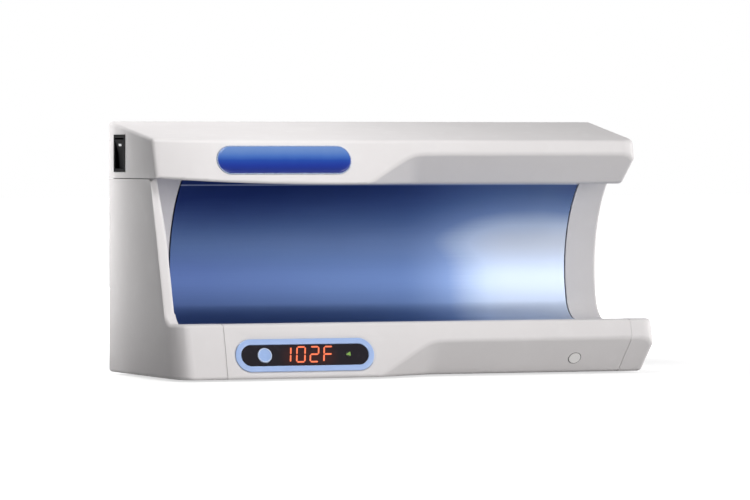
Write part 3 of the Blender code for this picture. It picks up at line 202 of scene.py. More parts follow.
def flat_faced(piece):
    """Keeps the broad faces of a smoothed piece flat."""
    piece.modifiers.new("flat_faces", "WEIGHTED_NORMAL").keep_sharp = True


def smooth(*names):
    """Smooths the rounded edges of solids and keeps their broad faces flat."""
    for name in names:
        solids[name].modifiers.new("smooth_edges", "NODES").node_group = smoother
        flat_faced(solids[name])


def moulded_rubber(name, colour, dust):
    """Dull rubber with a pored skin and a little dust."""
    finish, place, lay = new_finish(name, {"IOR": 1.5, "Specular IOR Level": 0.35})
    pores = grain(place, 0.0005, 2.0)
    dusty = grain(place, 0.006, 4.0).step(0.45, 0.8)
    lay("Base Color", (dusty * 0.5).tint(colour, dust))
    lay("Roughness", 0.66 + pores * 0.2)
    lay("Normal", relief(place, pores, 0.00004))
    return finish


feet = ("foot_1", "foot_2", "foot_3", "foot_4")
dress(moulded_rubber("foot_rubber", rgb(34, 34, 36), rgb(92, 90, 88)), *feet)
smooth(*feet)


# Frame plates: zinc coated sheet steel inside the two end mouldings, folded to
# take the liner and the rear cover. The zinc shows flat grey crystals.
def zinc_sheet(name):
    """Galvanised sheet with its large crystals and fine rolling lines."""
    finish, place, lay = new_finish(name, {"Metallic": 1.0})
    crystals = place.node("ShaderNodeTexVoronoi", {}, {"Vector": place, "Scale": 140.0}, "Color")
    shade = place.node("ShaderNodeSeparateColor", {}, {"Color": crystals})
    lines = grain(place, 0.0008, 3.0, (1.0, 0.03, 1.0))
    lay("Base Color", (shade * 0.7 + lines * 0.3).tint(rgb(150, 153, 158), rgb(196, 198, 202)))
    lay("Roughness", 0.32 + shade * 0.16 + lines * 0.06)
    lay("Normal", relief(place, lines, 0.00001))
    return finish


dress(zinc_sheet("frame_zinc"), "left_frame_plate", "right_frame_plate")


# Heater mats: silicone rubber sheets with a foil track baked inside, stuck to
# the back of the liner. The track shows through as low, regular ridges.
def bands(place, direction, scale, bend):
    """Even waves that follow each other in one direction and bend a little."""
    sockets = {"Vector": place, "Scale": scale, "Distortion": bend}
    return place.node("ShaderNodeTexWave", {"bands_direction": direction}, sockets, "Fac")


def silicone_mat(name, colour, track):
    """Silicone sheet: cloth print, and the raised track every eight millimetres."""
    finish, place, lay = new_finish(name, {"IOR": 1.41})
    raised = bands(place, "X", 39.0, 0.4).step(0.35, 0.65)
    print_of_cloth = grain(place, 0.0007, 1.0)
    lay("Base Color", (raised * 0.8 + print_of_cloth * 0.2).tint(colour, track))
    lay("Roughness", 0.5 + print_of_cloth * 0.18)
    lay("Normal", relief(place, raised + print_of_cloth * 0.15, 0.00025))
    return finish


heater_silicone = silicone_mat("heater_silicone", rgb(150, 58, 42), rgb(172, 76, 54))
dress(heater_silicone, "wall_heater_mat", "floor_heater_mat")


# Insulation: felted ceramic fibre, cut to the mats and pressed on behind them.
# Loose fibres lie along the sheet and leave it soft and uneven.
def fibre_felt(name, low, high):
    """Felt: long fibres over a lumpy ground."""
    finish, place, lay = new_finish(name, {"Specular IOR Level": 0.1})
    fibres = grain(place, 0.0006, 5.0, (0.12, 1.0, 1.0))
    lumps = grain(place, 0.008, 3.0)
    lay("Base Color", (fibres * 0.6 + lumps * 0.4).tint(low, high))
    lay("Roughness", 0.86 + fibres * 0.12)
    lay("Normal", relief(place, fibres * 0.5 + lumps, 0.0006))
    return finish


insulation_felt = fibre_felt("insulation_felt", rgb(206, 203, 192), rgb(240, 238, 230))
dress(insulation_felt, "wall_insulation", "floor_insulation")


# Cutout and sensor: a round thermal switch in a black moulding and a small
# sensor in a tan one, both clamped to the floor mat.
def moulding(name, low, high, pits, depth, shine):
    """Moulded plastic: an even sparked skin, faint flow clouds, and the polish of the mould."""
    finish, place, lay = new_finish(name, {"IOR": 1.49})
    skin = grain(place, pits, 1.0)
    clouds = grain(place, 0.024, 3.0)
    lay("Base Color", (clouds * 0.75 + skin * 0.25).tint(low, high))
    lay("Roughness", shine + skin * 0.12 + clouds * 0.06)
    lay("Normal", relief(place, skin, depth))
    return finish


part_black = moulding("component_black", rgb(30, 30, 32), rgb(44, 44, 47), 0.0004, 0.00002, 0.42)
part_tan = moulding("component_tan", rgb(206, 200, 176), rgb(222, 216, 194), 0.0004, 0.00001, 0.38)
dress(part_black, "thermal_cutout")
dress(part_tan, "temperature_sensor")
smooth("thermal_cutout")


# Heat liner: one sheet of aluminium, anodised blue with a fine satin grain along
# its length and rolled into the back and floor of the bay. Its colour carries
# painted shade, deepest at the upper left under the hood and at its ends, and a
# painted glow that grows towards the lower right.
def along(place, axis):
    """How far a place lies along X, Y or Z, in metres."""
    return place.node("ShaderNodeSeparateXYZ", {}, {"Vector": place}, axis)


liner_finish, place, lay = new_finish("liner_anodised", {"IOR": 1.6, "Specular IOR Level": 0.6})
across, height = along(place, "X"), along(place, "Z")
brushed = grain(place, 0.0009, 4.0, (0.015, 1.0, 1.0))
cloudy = grain(place, 0.045, 2.0, (0.5, 1.0, 1.0))
# Painted light and shade: the liner is painted paler low down and to the right, as if lit there, and darker
# at its top and its ends as painted shade; grain and clouds are mixed in.
painted_lit_low = 1 - height.step(0.094, 0.145)
painted_lit_middle = painted_lit_low * (0.5 + height.step(0.078, 0.106) * 0.5)
painted_lit_right = across.step(0.030, 0.128)
ends = (1 - across.step(-0.19, 0.06)) * 0.10 + across.step(0.145, 0.175) * (1 - painted_lit_low) * 0.10
painted_light_and_grain = painted_lit_middle * 0.28 + painted_lit_right * (painted_lit_low * 0.40 + 0.13) + cloudy * 0.06 + brushed * 0.05 - ends
painted_shading_stops = ((0.0, rgb(30, 54, 116)), (0.2, rgb(76, 102, 150)), (0.42, rgb(108, 132, 176)),
        (0.66, rgb(172, 187, 212)), (0.9, rgb(190, 196, 208)))
painted_liner_shading = place.node("ShaderNodeValToRGB", {"stops": painted_shading_stops}, {"Fac": painted_light_and_grain})
# Painted highlight: a thin pale line along the liner's top edge, standing for a reflection.
painted_edge_highlight = height.step(0.1440, 0.1444) * (1 - height.step(0.1450, 0.1454))
lay("Base Color", (painted_edge_highlight * 0.55).tint(painted_liner_shading, rgb(214, 222, 238)))
lay("Roughness", 0.42 + brushed * 0.08 + cloudy * 0.05)
lay("Metallic", 0.58 + brushed * 0.08)
lay("Normal", relief(place, brushed, 0.000006))
dress(liner_finish, "heat_liner")
smooth("heat_liner")


# Bay ceiling: a plain moulded panel that closes the hood from below and carries
# the power board on four posts. It is as pale as the casing, with a duller skin.
ceiling_finish = moulding("ceiling_plastic", rgb(204, 203, 201), rgb(214, 213, 211), 0.0006, 0.00003, 0.5)
dress(ceiling_finish, "bay_ceiling")
smooth("bay_ceiling")


# Boards: glass fibre laminate under green solder mask, screwed to posts on the
# ceiling and behind the display. Copper tracks lift the mask in bent runs.
board_finish, place, lay = new_finish("board_mask", {"IOR": 1.55, "Coat Weight": 0.3, "Coat Roughness": 0.2})
tracks = bands(place, "DIAGONAL", 55.0, 2.5).step(0.55, 0.7)
weave = grain(place, 0.0012, 1.0)
lay("Base Color", (tracks * 0.7 + weave * 0.3).tint(rgb(16, 70, 42), rgb(38, 112, 66)))
lay("Roughness", 0.3 + weave * 0.12)
lay("Normal", relief(place, tracks, 0.00004))
dress(board_finish, "power_board", "control_board")


# Parts on the boards: terminal block, transformer wound in yellow tape, relay,
# capacitor and output connector on the power board, and the small switch behind
# the button on the control board. All of them are soldered.
terminal_green = moulding("terminal_green", rgb(28, 84, 56), rgb(38, 100, 68), 0.0004, 0.00002, 0.4)
relay_blue = moulding("relay_blue", rgb(40, 76, 140), rgb(52, 90, 156), 0.0005, 0.00001, 0.3)
tape, place, lay = new_finish("transformer_tape", {"IOR": 1.5, "Coat Weight": 0.4, "Coat Roughness": 0.15})
wraps = bands(place, "Z", 70.0, 0.6)
creases = grain(place, 0.003, 3.0, (0.3, 1.0, 1.0))
lay("Base Color", (wraps * 0.3 + creases * 0.4).tint(rgb(214, 186, 60), rgb(238, 214, 104)))
lay("Roughness", 0.26 + creases * 0.2)
lay("Normal", relief(place, wraps * 0.4 + creases, 0.00012))
dress(terminal_green, "terminal_block")
dress(tape, "transformer")
dress(relay_blue, "relay")
dress(part_black, "capacitor", "button_switch")
dress(part_tan, "output_connector")
smooth("capacitor", "button_switch")


# Inner leads: silicone sleeved wire between the inlet, the switch, the board and
# the heaters, red at mains voltage and white for the rest.
def sleeve(name, low, high):
    """Extruded silicone sleeve with faint draw lines and talc on it."""
    finish, place, lay = new_finish(name, {"IOR": 1.42})
    drawn = grain(place, 0.0007, 2.0)
    talc = grain(place, 0.009, 3.0).step(0.5, 0.85)
    lay("Base Color", (talc * 0.6 + drawn * 0.3).tint(low, high))
    lay("Roughness", 0.44 + talc * 0.25)
    lay("Normal", relief(place, drawn, 0.00003))
    return finish


leads = ("mains_lead", "supply_lead", "heater_lead", "display_cable")
dress(sleeve("lead_red", rgb(150, 46, 36), rgb(178, 84, 72)), *leads[:2])
dress(sleeve("lead_white", rgb(214, 212, 202), rgb(236, 235, 228)), *leads[2:])
smooth(*leads)


# Casing: four mouldings in off-white plastic, the hood, the two ends and the
# front of the shelf. They meet in narrow seams and have a fine satin skin, a
# little polished in patches and greyer low down.
casing_finish, place, lay = new_finish("casing_plastic", {"IOR": 1.49, "Specular IOR Level": 0.18})
spark = grain(place, 0.00055, 1.5)
fine = grain(place, 0.0002, 0.0)
flow = grain(place, 0.060, 3.0)
rubbed = grain(place, 0.012, 4.0).step(0.52, 0.75)
low_down = 1 - along(place, "Z").step(0.0, 0.05)
shade = flow * 0.55 + spark * 0.2 + fine * 0.15 + rubbed * 0.1 - low_down * 0.25
lay("Base Color", shade.tint(rgb(215, 212, 212), rgb(230, 228, 228)))
lay("Roughness", 0.46 + spark * 0.12 + low_down * 0.06 - rubbed * 0.07)
lay("Normal", relief(place, spark + fine * 0.5, 0.00002))
mouldings = ("left_end_housing", "right_end_cap", "shelf_front_cover", "hood_shell")
dress(casing_finish, *mouldings)
smooth(*mouldings)


# Service plug: a small round plug pressed into the shelf's facet, moulded in a
# paler batch of the casing plastic with a soft edge. A thin dark grey rubber ring
# fills the gap round it, as painted shade in place of the gap's shadow.
def seat_at(origin, right, up):
    """Frame of a face: right and up along it, and out of it."""
    axes = (Vector(right).normalized(), Vector(up).normalized())
    out = axes[0].cross(axes[1])
    turn = Matrix((axes[0], axes[1], out)).transposed().to_4x4()
    return Matrix.Translation(origin) @ turn


def show(name, data):
    """Puts a mesh, a lamp or a lens into the scene."""
    shown = bpy.data.objects.new(name, data)
    bpy.context.scene.collection.objects.link(shown)
    return shown


def mesh_of(name, bm):
    """The finished mesh of a build."""
    mesh = bpy.data.meshes.new(name)
    bm.to_mesh(mesh)
    bm.free()
    return mesh


def new_piece(name, bm, finish, body="cabinet"):
    """Turns a built mesh into a smooth piece that rides on a body."""
    mesh = mesh_of(name, bm)
    mesh.polygons.foreach_set("use_smooth", [True] * len(mesh.polygons))
    mesh.materials.append(finish)
    piece = show(name, mesh)
    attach(piece, body)
    return piece


def stacked(loops, ring=False, bm=None):
    """Closed body through loops of as many points each; a ring joins the last loop to the first."""
    if bm is None:
        bm = bmesh.new()
    rows = [[bm.verts.new(point) for point in loop] for loop in loops]
    pairs = list(zip(rows, rows[1:]))
    if ring:
        pairs.append((rows[-1], rows[0]))
    else:
        bm.faces.new(rows[0])
        bm.faces.new(rows[-1])
    for lower, upper in pairs:
        for i in range(len(lower)):
            j = (i + 1) % len(lower)
            bm.faces.new((lower[i], lower[j], upper[j], upper[i]))
    bmesh.ops.recalc_face_normals(bm, faces=bm.faces[:])
    return bm


def oval_body(seat, straight, levels, ring=False, turns=64):
    """Stacked ovals joined into one body: each level is a radius and a height over the seat."""
    loops = []
    for radius, height in levels:
        loop = []
        for i in range(turns):
            angle = 2 * math.pi * (i + 0.5) / turns
            sideways = math.cos(angle) * radius + math.copysign(straight, math.cos(angle))
            loop.append(seat @ Vector((sideways, math.sin(angle) * radius, height)))
        loops.append(loop)
    return stacked(loops, ring)


def crisp(piece, limit=32):
    """Keeps the folds sharper than limit as clean edges."""
    mesh = piece.data
    bm = bmesh.new()
    bm.from_mesh(mesh)
    for edge in bm.edges:
        edge.smooth = edge.is_manifold and edge.calc_face_angle() < math.radians(limit)
    bm.to_mesh(mesh)
    bm.free()
    flat_faced(piece)


facet_tilt = math.radians(35)
facet_up = (0, -math.sin(facet_tilt), math.cos(facet_tilt))
plug_middle = (0.130, -0.058387, 0.0125)
plug_seat = seat_at(plug_middle, (1, 0, 0), facet_up)
plug_levels = [(0.0029, -0.0060), (0.0032, -0.0056), (0.0032, -0.0010), (0.0045, -0.0010), (0.0047, -0.0008),
               (0.0047, 0.0001), (0.0045, 0.0004), (0.0042, 0.0005), (0.0030, 0.0005), (0.0012, 0.0005)]
plug_finish = moulding("plug_plastic", rgb(228, 226, 224), rgb(240, 239, 238), 0.0005, 0.00001, 0.36)
plug = new_piece("service_plug_face", oval_body(plug_seat, 0.0, plug_levels), plug_finish)
crisp(plug)
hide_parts("service_plug")
# Painted shade: a dark grey ring in the gap round the plug stands for the gap's shadow.
gap_ring_section = [(0.0048, -0.0008), (0.00525, -0.0008), (0.00525, -0.0001), (0.0048, -0.0001)]
gap_shade_finish = moulded_rubber("gap_shade_rubber", rgb(62, 62, 64), rgb(104, 102, 100))
gap_ring_body = oval_body(plug_seat, 0.0, gap_ring_section, ring=True)
crisp(new_piece("plug_gap_shade_ring", gap_ring_body, gap_shade_finish))


# Seam tongues: ribs in the casing's plastic that close the two upright seams of
# the shelf from behind. They end a little below the skin of the mouldings.
lip_line = [(-0.06548, 0.0395), (-0.0649, 0.04057), (-0.06379, 0.04143), (-0.0625, 0.04175),
            (-0.0560, 0.04175), (-0.0560, 0.0400), (-0.0624, 0.0400), (-0.0637, 0.0388)]
left_foot = [(-0.0700, 0.0040), (-0.0700, 0.00185), (-0.07414, 0.00185), (-0.07516, 0.00213),
             (-0.07568, 0.00285), (-0.07568, 0.0039)]
left_line = left_foot + lip_line + [(-0.0738, 0.0040)]
right_foot = [(-0.0440, 0.0040), (-0.0440, 0.00185), (-0.0481, 0.00185), (-0.0495, 0.00214),
              (-0.05087, 0.00285), (-0.05189, 0.00383)]
right_ridge = [(-0.06739, 0.02597), (-0.06801, 0.02724), (-0.06826, 0.02886), (-0.06811, 0.0303)]
right_back = [(-0.0663, 0.0296), (-0.0660, 0.0275), (-0.0500, 0.0046), (-0.0479, 0.0040)]
right_line = right_foot + right_ridge + lip_line + right_back
ridge_height, foot_lift = 0.0264, 0.0015
left_rib = ("left", -0.1557, 0.0, 0.0004, left_line)
right_rib = ("right", 0.1728, 0.004, 0.00055, right_line)
for side, seam_x, slant, half_rib, outline in (left_rib, right_rib):
    loops = []
    for step in (-half_rib, half_rib):
        loop = []
        for y, z in outline:
            below = max(0.0, 1 - (z - foot_lift) / ridge_height)
            loop.append(Vector((seam_x + step - slant * below, y, z)))
        loops.append(loop)
    crisp(new_piece(f"seam_tongue_{side}", stacked(loops), casing_finish))


# Rear cover: flat sheet steel with the base plate's powder coat, set into the
# back of the casing. It holds the inlet and two keyholes for hanging.
dress(powder_coat("rear_powder_coat", rgb(182, 184, 186), rgb(196, 197, 199)), "rear_cover")


# Screws: zinc plated steel. Six small ones hold the boards, and five countersunk
# ones with a cross recess hold the rear cover to bosses in the mouldings.
screw_finish, place, lay = new_finish("screw_zinc", {"Metallic": 1.0})
turned = grain(place, 0.0006, 3.0)
worn = grain(place, 0.0022, 3.0).step(0.5, 0.75)
lay("Base Color", (turned * 0.5 + worn * 0.5).tint(rgb(112, 114, 119), rgb(158, 160, 165)))
lay("Roughness", 0.36 + turned * 0.16 + worn * 0.1)
lay("Normal", relief(place, turned, 0.00001))
board_screws = ("power_board_screw_1", "power_board_screw_2", "power_board_screw_3", "power_board_screw_4",
                "control_board_screw_1", "control_board_screw_2")
dress(screw_finish, *board_screws)
smooth(*board_screws)
back = cad_box[1].y
cross_long, cross_wide, cross_deep, cross_over = 0.0036, 0.0009, 0.0010, 0.0004
foot_share, mouth_share = 0.55, 1.15
cross = []
for a, b in ((0.5, 0.5), (-0.5, 0.5), (-0.5, -0.5), (0.5, -0.5)):
    arm = [Vector((a * cross_long, b * cross_wide, 0)), Vector((a * cross_wide, b * cross_wide, 0)),
           Vector((a * cross_wide, b * cross_long, 0))]
    cross += arm if a * b > 0 else arm[::-1]
screw_levels = [(0.0012, -0.0115), (0.0015, -0.0110), (0.0015, -0.0016), (0.0030, -0.0005), (0.0031, -0.0004),
                (0.0029, -0.0003)]
screw_spots = ((-0.120, 0.1858), (0.020, 0.1858), (0.160, 0.1858), (-0.185, 0.008), (0.185, 0.008))
for number, (screw_x, screw_z) in enumerate(screw_spots, 1):
    seat = seat_at((screw_x, back, screw_z), (-1, 0, 0), (0, 0, 1))
    screw_body = oval_body(seat, 0.0, screw_levels, turns=40)
    screw = new_piece(f"cover_screw_{number}", screw_body, screw_finish)
    foot = [seat @ (point * foot_share + Vector((0, 0, -cross_deep))) for point in cross]
    mouth = [seat @ (point * mouth_share + Vector((0, 0, cross_over))) for point in cross]
    tip = show("driver_tip", mesh_of("driver_tip", stacked((foot, mouth))))
    screw.modifiers.new("recess", "BOOLEAN").object = tip
    bpy.context.view_layer.update()
    shaped = bpy.data.meshes.new_from_object(screw.evaluated_get(bpy.context.evaluated_depsgraph_get()))
    screw.modifiers.clear()
    screw.data = shaped
    bpy.data.objects.remove(tip)
    crisp(screw)
    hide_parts(f"rear_screw_{number}")


# Power inlet: a moulded black socket behind the rear cover with three nickel
# plated blades. The socket has the switch's finish.
switch_black, place, lay = new_finish("switch_black", {"IOR": 1.46, "Specular IOR Level": 0.02})
sparked = grain(place, 0.0004, 1.0)
greyed = grain(place, 0.008, 3.0)
lay("Base Color", (greyed * 0.7 + sparked * 0.3).tint(rgb(4, 4, 6), rgb(13, 13, 15)))
lay("Roughness", 0.46 + sparked * 0.14)
lay("Normal", relief(place, sparked, 0.00002))
dress(switch_black, "power_inlet")
nickel, place, lay = new_finish("blade_nickel", {"Metallic": 1.0})
drawn = grain(place, 0.0005, 3.0, (1.0, 0.05, 1.0))
lay("Base Color", drawn.tint(rgb(176, 172, 160), rgb(216, 212, 200)))
lay("Roughness", 0.2 + drawn * 0.16)
lay("Normal", relief(place, drawn, 0.00001))
inlet_middle = (-0.150, back, 0.171)
inlet_seat = seat_at(inlet_middle, (-1, 0, 0), (0, 0, 1))
blade_levels = ((0.00105, 0.00205, -0.0159), (0.00105, 0.00205, -0.0068), (0.0008, 0.0017, -0.0061),
                (0.0004, 0.0012, -0.0058))
blade_spots = ((-0.007, -0.002), (0.0, 0.002), (0.007, -0.002))
for number, (blade_x, blade_z) in enumerate(blade_spots, 1):
    loops = []
    for wide, tall, height in blade_levels:
        corners = ((-wide, -tall), (wide, -tall), (wide, tall), (-wide, tall))
        loops.append([inlet_seat @ Vector((blade_x + a, blade_z + b, height)) for a, b in corners])
    crisp(new_piece(f"inlet_blade_{number}", stacked(loops), nickel))


# Rocker switch: a black moulded frame pressed into the hood's left side, with a
# paddle that tips on two pins.
dress(switch_black, "rocker_frame", "rocker_paddle")
smooth("rocker_frame", "rocker_paddle")


# Rocker mark: a white bar moulded into the paddle's upper half, level with its
# skin. It stands for on.
mark_white, place, lay = new_finish("mark_white", {"IOR": 1.49})
print_grain = grain(place, 0.0004, 2.0)
lay("Base Color", print_grain.tint(rgb(206, 208, 210), rgb(232, 234, 236)))
lay("Roughness", 0.4 + print_grain * 0.15)
pivot_joint = [joint for joint in frame["joints"] if joint["name"] == "rocker_tilt"][0]
switch_side = Vector((0.045363, -0.998971, 0.0))
rest_tilt = math.radians(8)
paddle_seat = seat_at(pivot_joint["pos_m"], switch_side, (0, 0, 1)) @ Matrix.Rotation(rest_tilt, 4, "X")
paddle_slope = math.atan2(0.0008, 0.011)
bar_middle = Matrix.Translation((0, 0.0068, 0.00269))
bar_seat = paddle_seat @ bar_middle @ Matrix.Rotation(paddle_slope, 4, "X")
bar_straight, bar_levels = 0.0022, [(0.0009, -0.0001), (0.0009, 0.00005), (0.0008, 0.0001)]
bar = oval_body(bar_seat, bar_straight, bar_levels, turns=24)
crisp(new_piece("rocker_mark_on", bar, mark_white, "rocker"))


# Display ring: light blue polished plastic with a soft round section, bonded
# into its seat in the shelf's front round the window.
lean = math.radians(16)
front_up = (0, math.sin(lean), math.cos(lean))
display_middle = (-0.093, -0.071751, 0.0189)
display_seat = seat_at(display_middle, (1, 0, 0), front_up)
ring_blue, place, lay = new_finish("ring_blue", {"IOR": 1.49, "Coat Weight": 0.35, "Coat Roughness": 0.12})
milky = grain(place, 0.010, 3.0)
scuffs = grain(place, 0.0008, 3.0, (0.2, 1.0, 1.0))
lay("Base Color", (milky * 0.7 + scuffs * 0.3).tint(rgb(146, 172, 220), rgb(166, 192, 236)))
lay("Roughness", 0.26 + scuffs * 0.14)
lay("Normal", relief(place, milky * 0.5 + scuffs * 0.05, 0.00003))
ring_section = [(0.0124, -0.0009), (0.0125, -0.0003), (0.0124, 0.0001), (0.0121, 0.0003), (0.0115, 0.0004),
                (0.0091, 0.0004), (0.0085, 0.0003), (0.0082, 0.0001), (0.0081, -0.0003), (0.0081, -0.0009)]
ring_straight = 0.04225
ring_body = oval_body(display_seat, ring_straight, ring_section, ring=True, turns=96)
ring = new_piece("display_ring_face", ring_body, ring_blue)
crisp(ring, limit=40)
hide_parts("display_ring")


# Display window: smoked acrylic, polished, with holes for the button and the
# light. The black digit block behind it leaves a faint red glow in the plastic.
smoked = {"IOR": 1.49, "Specular IOR Level": 0.2, "Emission Strength": 1.0}
window_dark, place, lay = new_finish("window_smoked", smoked)
across, upward = along(place, "X"), along(place, "Z")
dust = grain(place, 0.004, 4.0).step(0.5, 0.85)
wiped = grain(place, 0.0006, 3.0, (0.05, 1.0, 1.0))
lay("Base Color", (dust * 0.4).tint(rgb(16, 14, 20), rgb(44, 38, 46)))
lay("Roughness", 0.07 + dust * 0.12 + wiped * 0.05)
glow_wide = across.step(-0.116, -0.104) * (1 - across.step(-0.076, -0.064))
glow_tall = upward.step(0.008, 0.017) * (1 - upward.step(0.019, 0.028))
unlit, red_glow = (0.004, 0.002, 0.004, 1.0), (0.028, 0.004, 0.002, 1.0)
lay("Emission Color", (glow_wide * glow_tall).tint(unlit, red_glow))
dress(window_dark, "display_window")
smooth("display_window")
dress(part_black, "digit_display")


# Lit digits: slanted seven segment figures showing a temperature, bright orange
# red bars in the window's face.
digit_glow, place, lay = new_finish("digit_glow", {"Emission Strength": 1.0, "Roughness": 0.4})
flicker = grain(place, 0.0012, 2.0)
lay("Base Color", flicker.tint(rgb(120, 30, 14), rgb(140, 40, 20)))
lay("Emission Color", flicker.tint(rgb(242, 90, 38), rgb(255, 146, 92)))
slant = math.tan(math.radians(7))
half_wide, half_tall, stroke, half_gap, lift = 0.0032, 0.0057, 0.0012, 0.0002, 0.0004
bar_foot, bar_face = -0.0001, 0.00008
left_top, right_top = Vector((-half_wide, half_tall)), Vector((half_wide, half_tall))
left_mid, right_mid = Vector((-half_wide, 0)), Vector((half_wide, 0))
left_low, right_low = Vector((-half_wide, -half_tall)), Vector((half_wide, -half_tall))
bars = {"a": (left_top, right_top), "b": (right_top, right_mid), "c": (right_mid, right_low),
        "d": (left_low, right_low), "e": (left_mid, left_low), "f": (left_top, left_mid),
        "g": (left_mid, right_mid)}
segments = {"1": "bc", "0": "abcdef", "2": "abged", "F": "aefg"}
figures = (("1", -0.0147), ("0", -0.0034), ("2", 0.0073), ("F", 0.0181))
for figure, middle in figures:
    bm = bmesh.new()
    for key in segments[figure]:
        start, end = bars[key]
        run = (end - start).normalized()
        side = Vector((-run.y, run.x)) * stroke / 2
        near, far, tip = start + run * half_gap, end - run * half_gap, run * stroke / 2
        outline = (near, near + tip + side, far - tip + side, far, far - tip - side, near + tip - side)
        leaning = [(middle + point.x + point.y * slant, point.y + lift) for point in outline]
        levels = (bar_foot, bar_face)
        stacked([[display_seat @ Vector((*spot, level)) for spot in leaning] for level in levels], bm=bm)
    crisp(new_piece(f"digit_{figure}", bm, digit_glow))


# Push button: a pale blue plastic cap with a raised rim round a shallow dish,
# kept in by a flange behind the window.
button_blue, place, lay = new_finish("button_blue", {"IOR": 1.49, "Specular IOR Level": 0.45})
satin = grain(place, 0.0005, 2.0)
handled = grain(place, 0.003, 3.0)
button_x = -0.032
button_seat = display_seat @ Matrix.Translation((button_x, 0, 0))
middle = button_seat.to_translation()
reach = place.node("ShaderNodeVectorMath", {"operation": "DISTANCE"}, {0: place, 1: middle}, "Value")
rim = reach.step(0.0046, 0.0051)
cap_blue = (handled * 0.6 + satin * 0.4).tint(rgb(140, 168, 218), rgb(160, 188, 232))
lay("Base Color", (rim * 0.6).tint(cap_blue, rgb(224, 232, 244)))
lay("Roughness", 0.32 + satin * 0.14)
lay("Normal", relief(place, satin, 0.00002))
button_levels = [(0.0015, -0.0061), (0.0018, -0.0058), (0.0018, -0.0037), (0.0076, -0.0037),
                 (0.0076, -0.0027), (0.0056, -0.0027), (0.0056, 0.0004), (0.0054, 0.0007), (0.0051, 0.0009),
                 (0.0048, 0.0009), (0.0045, 0.0007), (0.0042, 0.0006), (0.0020, 0.0005)]
button_body = oval_body(button_seat, 0.0, button_levels)
button = new_piece("button_face", button_body, button_blue, "button")
crisp(button, limit=40)
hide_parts("button_cap")


# Status light: a small dark lens pressed into the window from behind, with a lit
# green wedge in its middle.
lens_dark = moulding("lens_dark", rgb(20, 24, 20), rgb(30, 36, 28), 0.0008, 0.00001, 0.1)
dress(lens_dark, "status_led")
smooth("status_led")
wedge_green, place, lay = new_finish("wedge_green", {"Emission Strength": 1.0, "Roughness": 0.3})
lit = grain(place, 0.0011, 2.0)
lay("Base Color", lit.tint(rgb(40, 80, 20), rgb(60, 100, 30)))
lay("Emission Color", lit.tint(rgb(84, 116, 38), rgb(122, 152, 66)))
corners = ((-0.0019, -0.0002), (0.0015, -0.0013), (0.0019, -0.0010), (0.0017, 0.0018), (0.0013, 0.0018))
light_x, wedge_foot, wedge_face = 0.034, 0.0002, 0.00042
levels = (wedge_foot, wedge_face)
loops = [[display_seat @ Vector((light_x + a, b, level)) for a, b in corners] for level in levels]
crisp(new_piece("status_wedge", stacked(loops), wedge_green))


# Badge: a domed resin plate on the hood's front, clear over a blue ground that
# is light at its top and deep below. It is left bare, inside a thin bright rim.
badge_middle, badge_straight = (-0.095, -0.030144, 0.164), 0.0425
badge_seat = seat_at(badge_middle, (1, 0, 0), front_up)
clear_resin = {"Specular IOR Level": 0.15, "Coat Weight": 0.2, "Coat Roughness": 0.06}
badge_blue, place, lay = new_finish("badge_blue", clear_resin)
upward = along(place, "Z")
ink = grain(place, 0.014, 3.0)
dots = grain(place, 0.0004, 1.0)
depth = 1 - upward.step(0.1545, 0.1745) + ink * 0.1 + dots * 0.05 - 0.07
inks = ((0.0, rgb(104, 136, 190)), (0.3, rgb(66, 108, 182)), (0.55, rgb(22, 68, 160)), (0.8, rgb(8, 46, 146)),
        (1.0, rgb(6, 36, 124)))
lay("Base Color", place.node("ShaderNodeValToRGB", {"stops": inks}, {"Fac": depth}))
lay("Roughness", 0.16 + dots * 0.08 + ink * 0.06)
badge_dome = [(0.0100, -0.0005), (0.0103, -0.0003), (0.0103, 0.0006), (0.0101, 0.0008), (0.0094, 0.0010),
              (0.0080, 0.0012), (0.0060, 0.0013), (0.0030, 0.0014), (0.0008, 0.0014)]
badge_body = oval_body(badge_seat, badge_straight, badge_dome, turns=96)
badge = new_piece("badge_dome", badge_body, badge_blue)
crisp(badge, limit=40)
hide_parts("badge")
rim_bright, place, lay = new_finish("badge_rim_bright", {"Metallic": 0.4, "IOR": 1.5})
polish = grain(place, 0.0007, 2.0)
lay("Base Color", polish.tint(rgb(150, 170, 208), rgb(196, 208, 228)))
lay("Roughness", 0.2 + polish * 0.15)
rim_section = [(0.0103, -0.0004), (0.0110, -0.0004), (0.0110, 0.0006), (0.0108, 0.0009), (0.0105, 0.0009),
               (0.0103, 0.0006)]
rim_body = oval_body(badge_seat, badge_straight, rim_section, ring=True, turns=96)
crisp(new_piece("badge_rim", rim_body, rim_bright), limit=40)


# Floor: a wide sheet of matt white studio paper under the cabinet. It is lit
# more evenly away from the cabinet, and keeps its shadow near it.
def backdrop_rays(wire):
    """1 for the rays that see the background: straight, in a mirror or through glass."""
    kinds = ("Is Camera Ray", "Is Glossy Ray", "Is Transmission Ray")
    seen, mirrored, passed = [wire.node("ShaderNodeLightPath", {}, {}, kind) for kind in kinds]
    return seen + mirrored + passed


matt = {"Emission Strength": 1.0, "Roughness": 0.9, "Specular IOR Level": 0.1}
paper, place, lay = new_finish("floor_paper", matt)
fibre = grain(place, 0.004, 4.0)
paper_dark, paper_light = (0.45, 0.45, 0.45, 1.0), (0.49, 0.49, 0.49, 1.0)
lay("Base Color", fibre.tint(paper_dark, paper_light))
lay("Normal", relief(place, fibre, 0.0001))
away = place.node("ShaderNodeVectorMath", {"operation": "LENGTH"}, {0: place}, "Value")
black, near_grey, white = (0.0, 0.0, 0.0, 1.0), (0.66, 0.66, 0.66, 1.0), (1.0, 1.0, 1.0, 1.0)
backdrop = away.step(0.24, 0.60).tint(near_grey, white)
lay("Emission Color", backdrop_rays(place).tint(black, backdrop))
sheet = bmesh.new()
bmesh.ops.create_grid(sheet, x_segments=8, y_segments=8, size=12.0)
floor_mesh = mesh_of("studio_floor", sheet)
floor_mesh.materials.append(paper)
floor = show("studio_floor", floor_mesh)


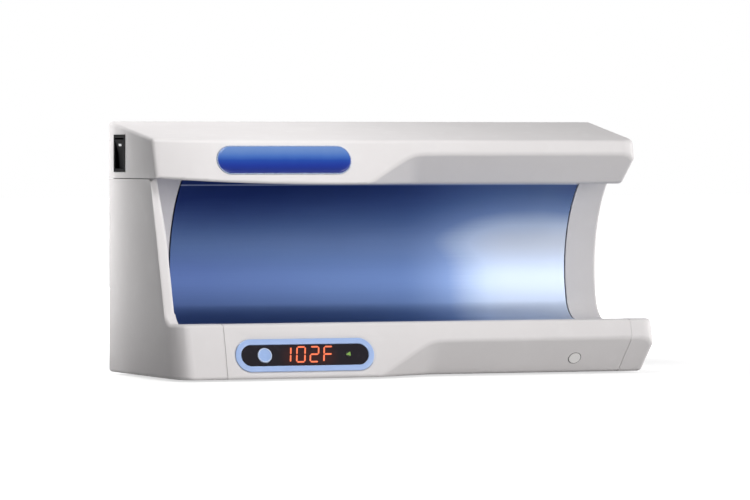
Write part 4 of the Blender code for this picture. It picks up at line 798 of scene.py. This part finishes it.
# Studio: a white surround that is much dimmer as a light than as a background,
# one soft lamp close over the front with two low ones farther off, small ones
# over the top's left and beside the left end, and fills for back and right.
world = bpy.data.worlds.new("studio")
bpy.context.scene.world = world
world.use_nodes = True
background = world.node_tree.nodes["Background"]
air = Wire(world.node_tree, background.outputs[0])
dim_light = (0.04, 0.04, 0.045, 1.0)
sky = backdrop_rays(air).tint(dim_light, white)
world.node_tree.links.new(sky.socket, background.inputs["Color"])


def soft_lamp(name, spot, target, size, power):
    """A soft lamp, wide and tall, that looks at the target and isn't seen itself."""
    lamp = bpy.data.lights.new(name, "AREA")
    lamp.shape = "RECTANGLE"
    lamp.size, lamp.size_y = size
    lamp.energy = power
    lamp.color = (1.0, 0.99, 0.985)
    holder = show(name, lamp)
    holder.location = spot
    holder.rotation_euler = (Vector(target) - Vector(spot)).to_track_quat("-Z", "Y").to_euler()
    holder.visible_camera = False


centre = (0.0, 0.0, 0.1)
soft_lamp("front_lamp", (-0.18, -0.42, 0.80), (-0.12, -0.02, 0.10), (0.26, 0.26), 3.9)
soft_lamp("low_lamp", (0.10, -2.50, 0.40), centre, (0.9, 0.6), 13.0)
soft_lamp("right_lamp", (1.60, -1.90, 0.45), centre, (1.6, 0.8), 25.0)
soft_lamp("top_lamp", (-0.11, 0.05, 0.38), (-0.11, 0.04, 0.19), (0.16, 0.16), 0.17)
soft_lamp("side_lamp", (-0.25, 0.11, 0.13), (-0.20, 0.098, 0.12), (0.04, 0.22), 0.122)
soft_lamp("back_fill", (0.30, 2.20, 0.22), centre, (1.0, 0.6), 30.0)
soft_lamp("end_fill", (2.20, 0.35, 0.22), centre, (1.0, 0.6), 25.0)


# Camera: a long lens left of the front and almost level, as the object is seen
# in its 750 by 500 picture.
lens = bpy.data.cameras.new("camera")
lens.sensor_width = 36.0
lens.lens = 227.41
camera = show("camera", lens)
turn, rise, distance = math.radians(-20.3088), math.radians(1.2472), 3.6262
aim = Vector((-0.0109, 0.0004, 0.0950))
toward = Vector((math.sin(turn) * math.cos(rise), -math.cos(turn) * math.cos(rise), math.sin(rise)))
camera.location = aim + distance * toward
camera.rotation_euler = (-toward).to_track_quat("-Z", "Y").to_euler()
bpy.context.scene.camera = camera
bpy.context.scene.view_settings.view_transform = "Standard"
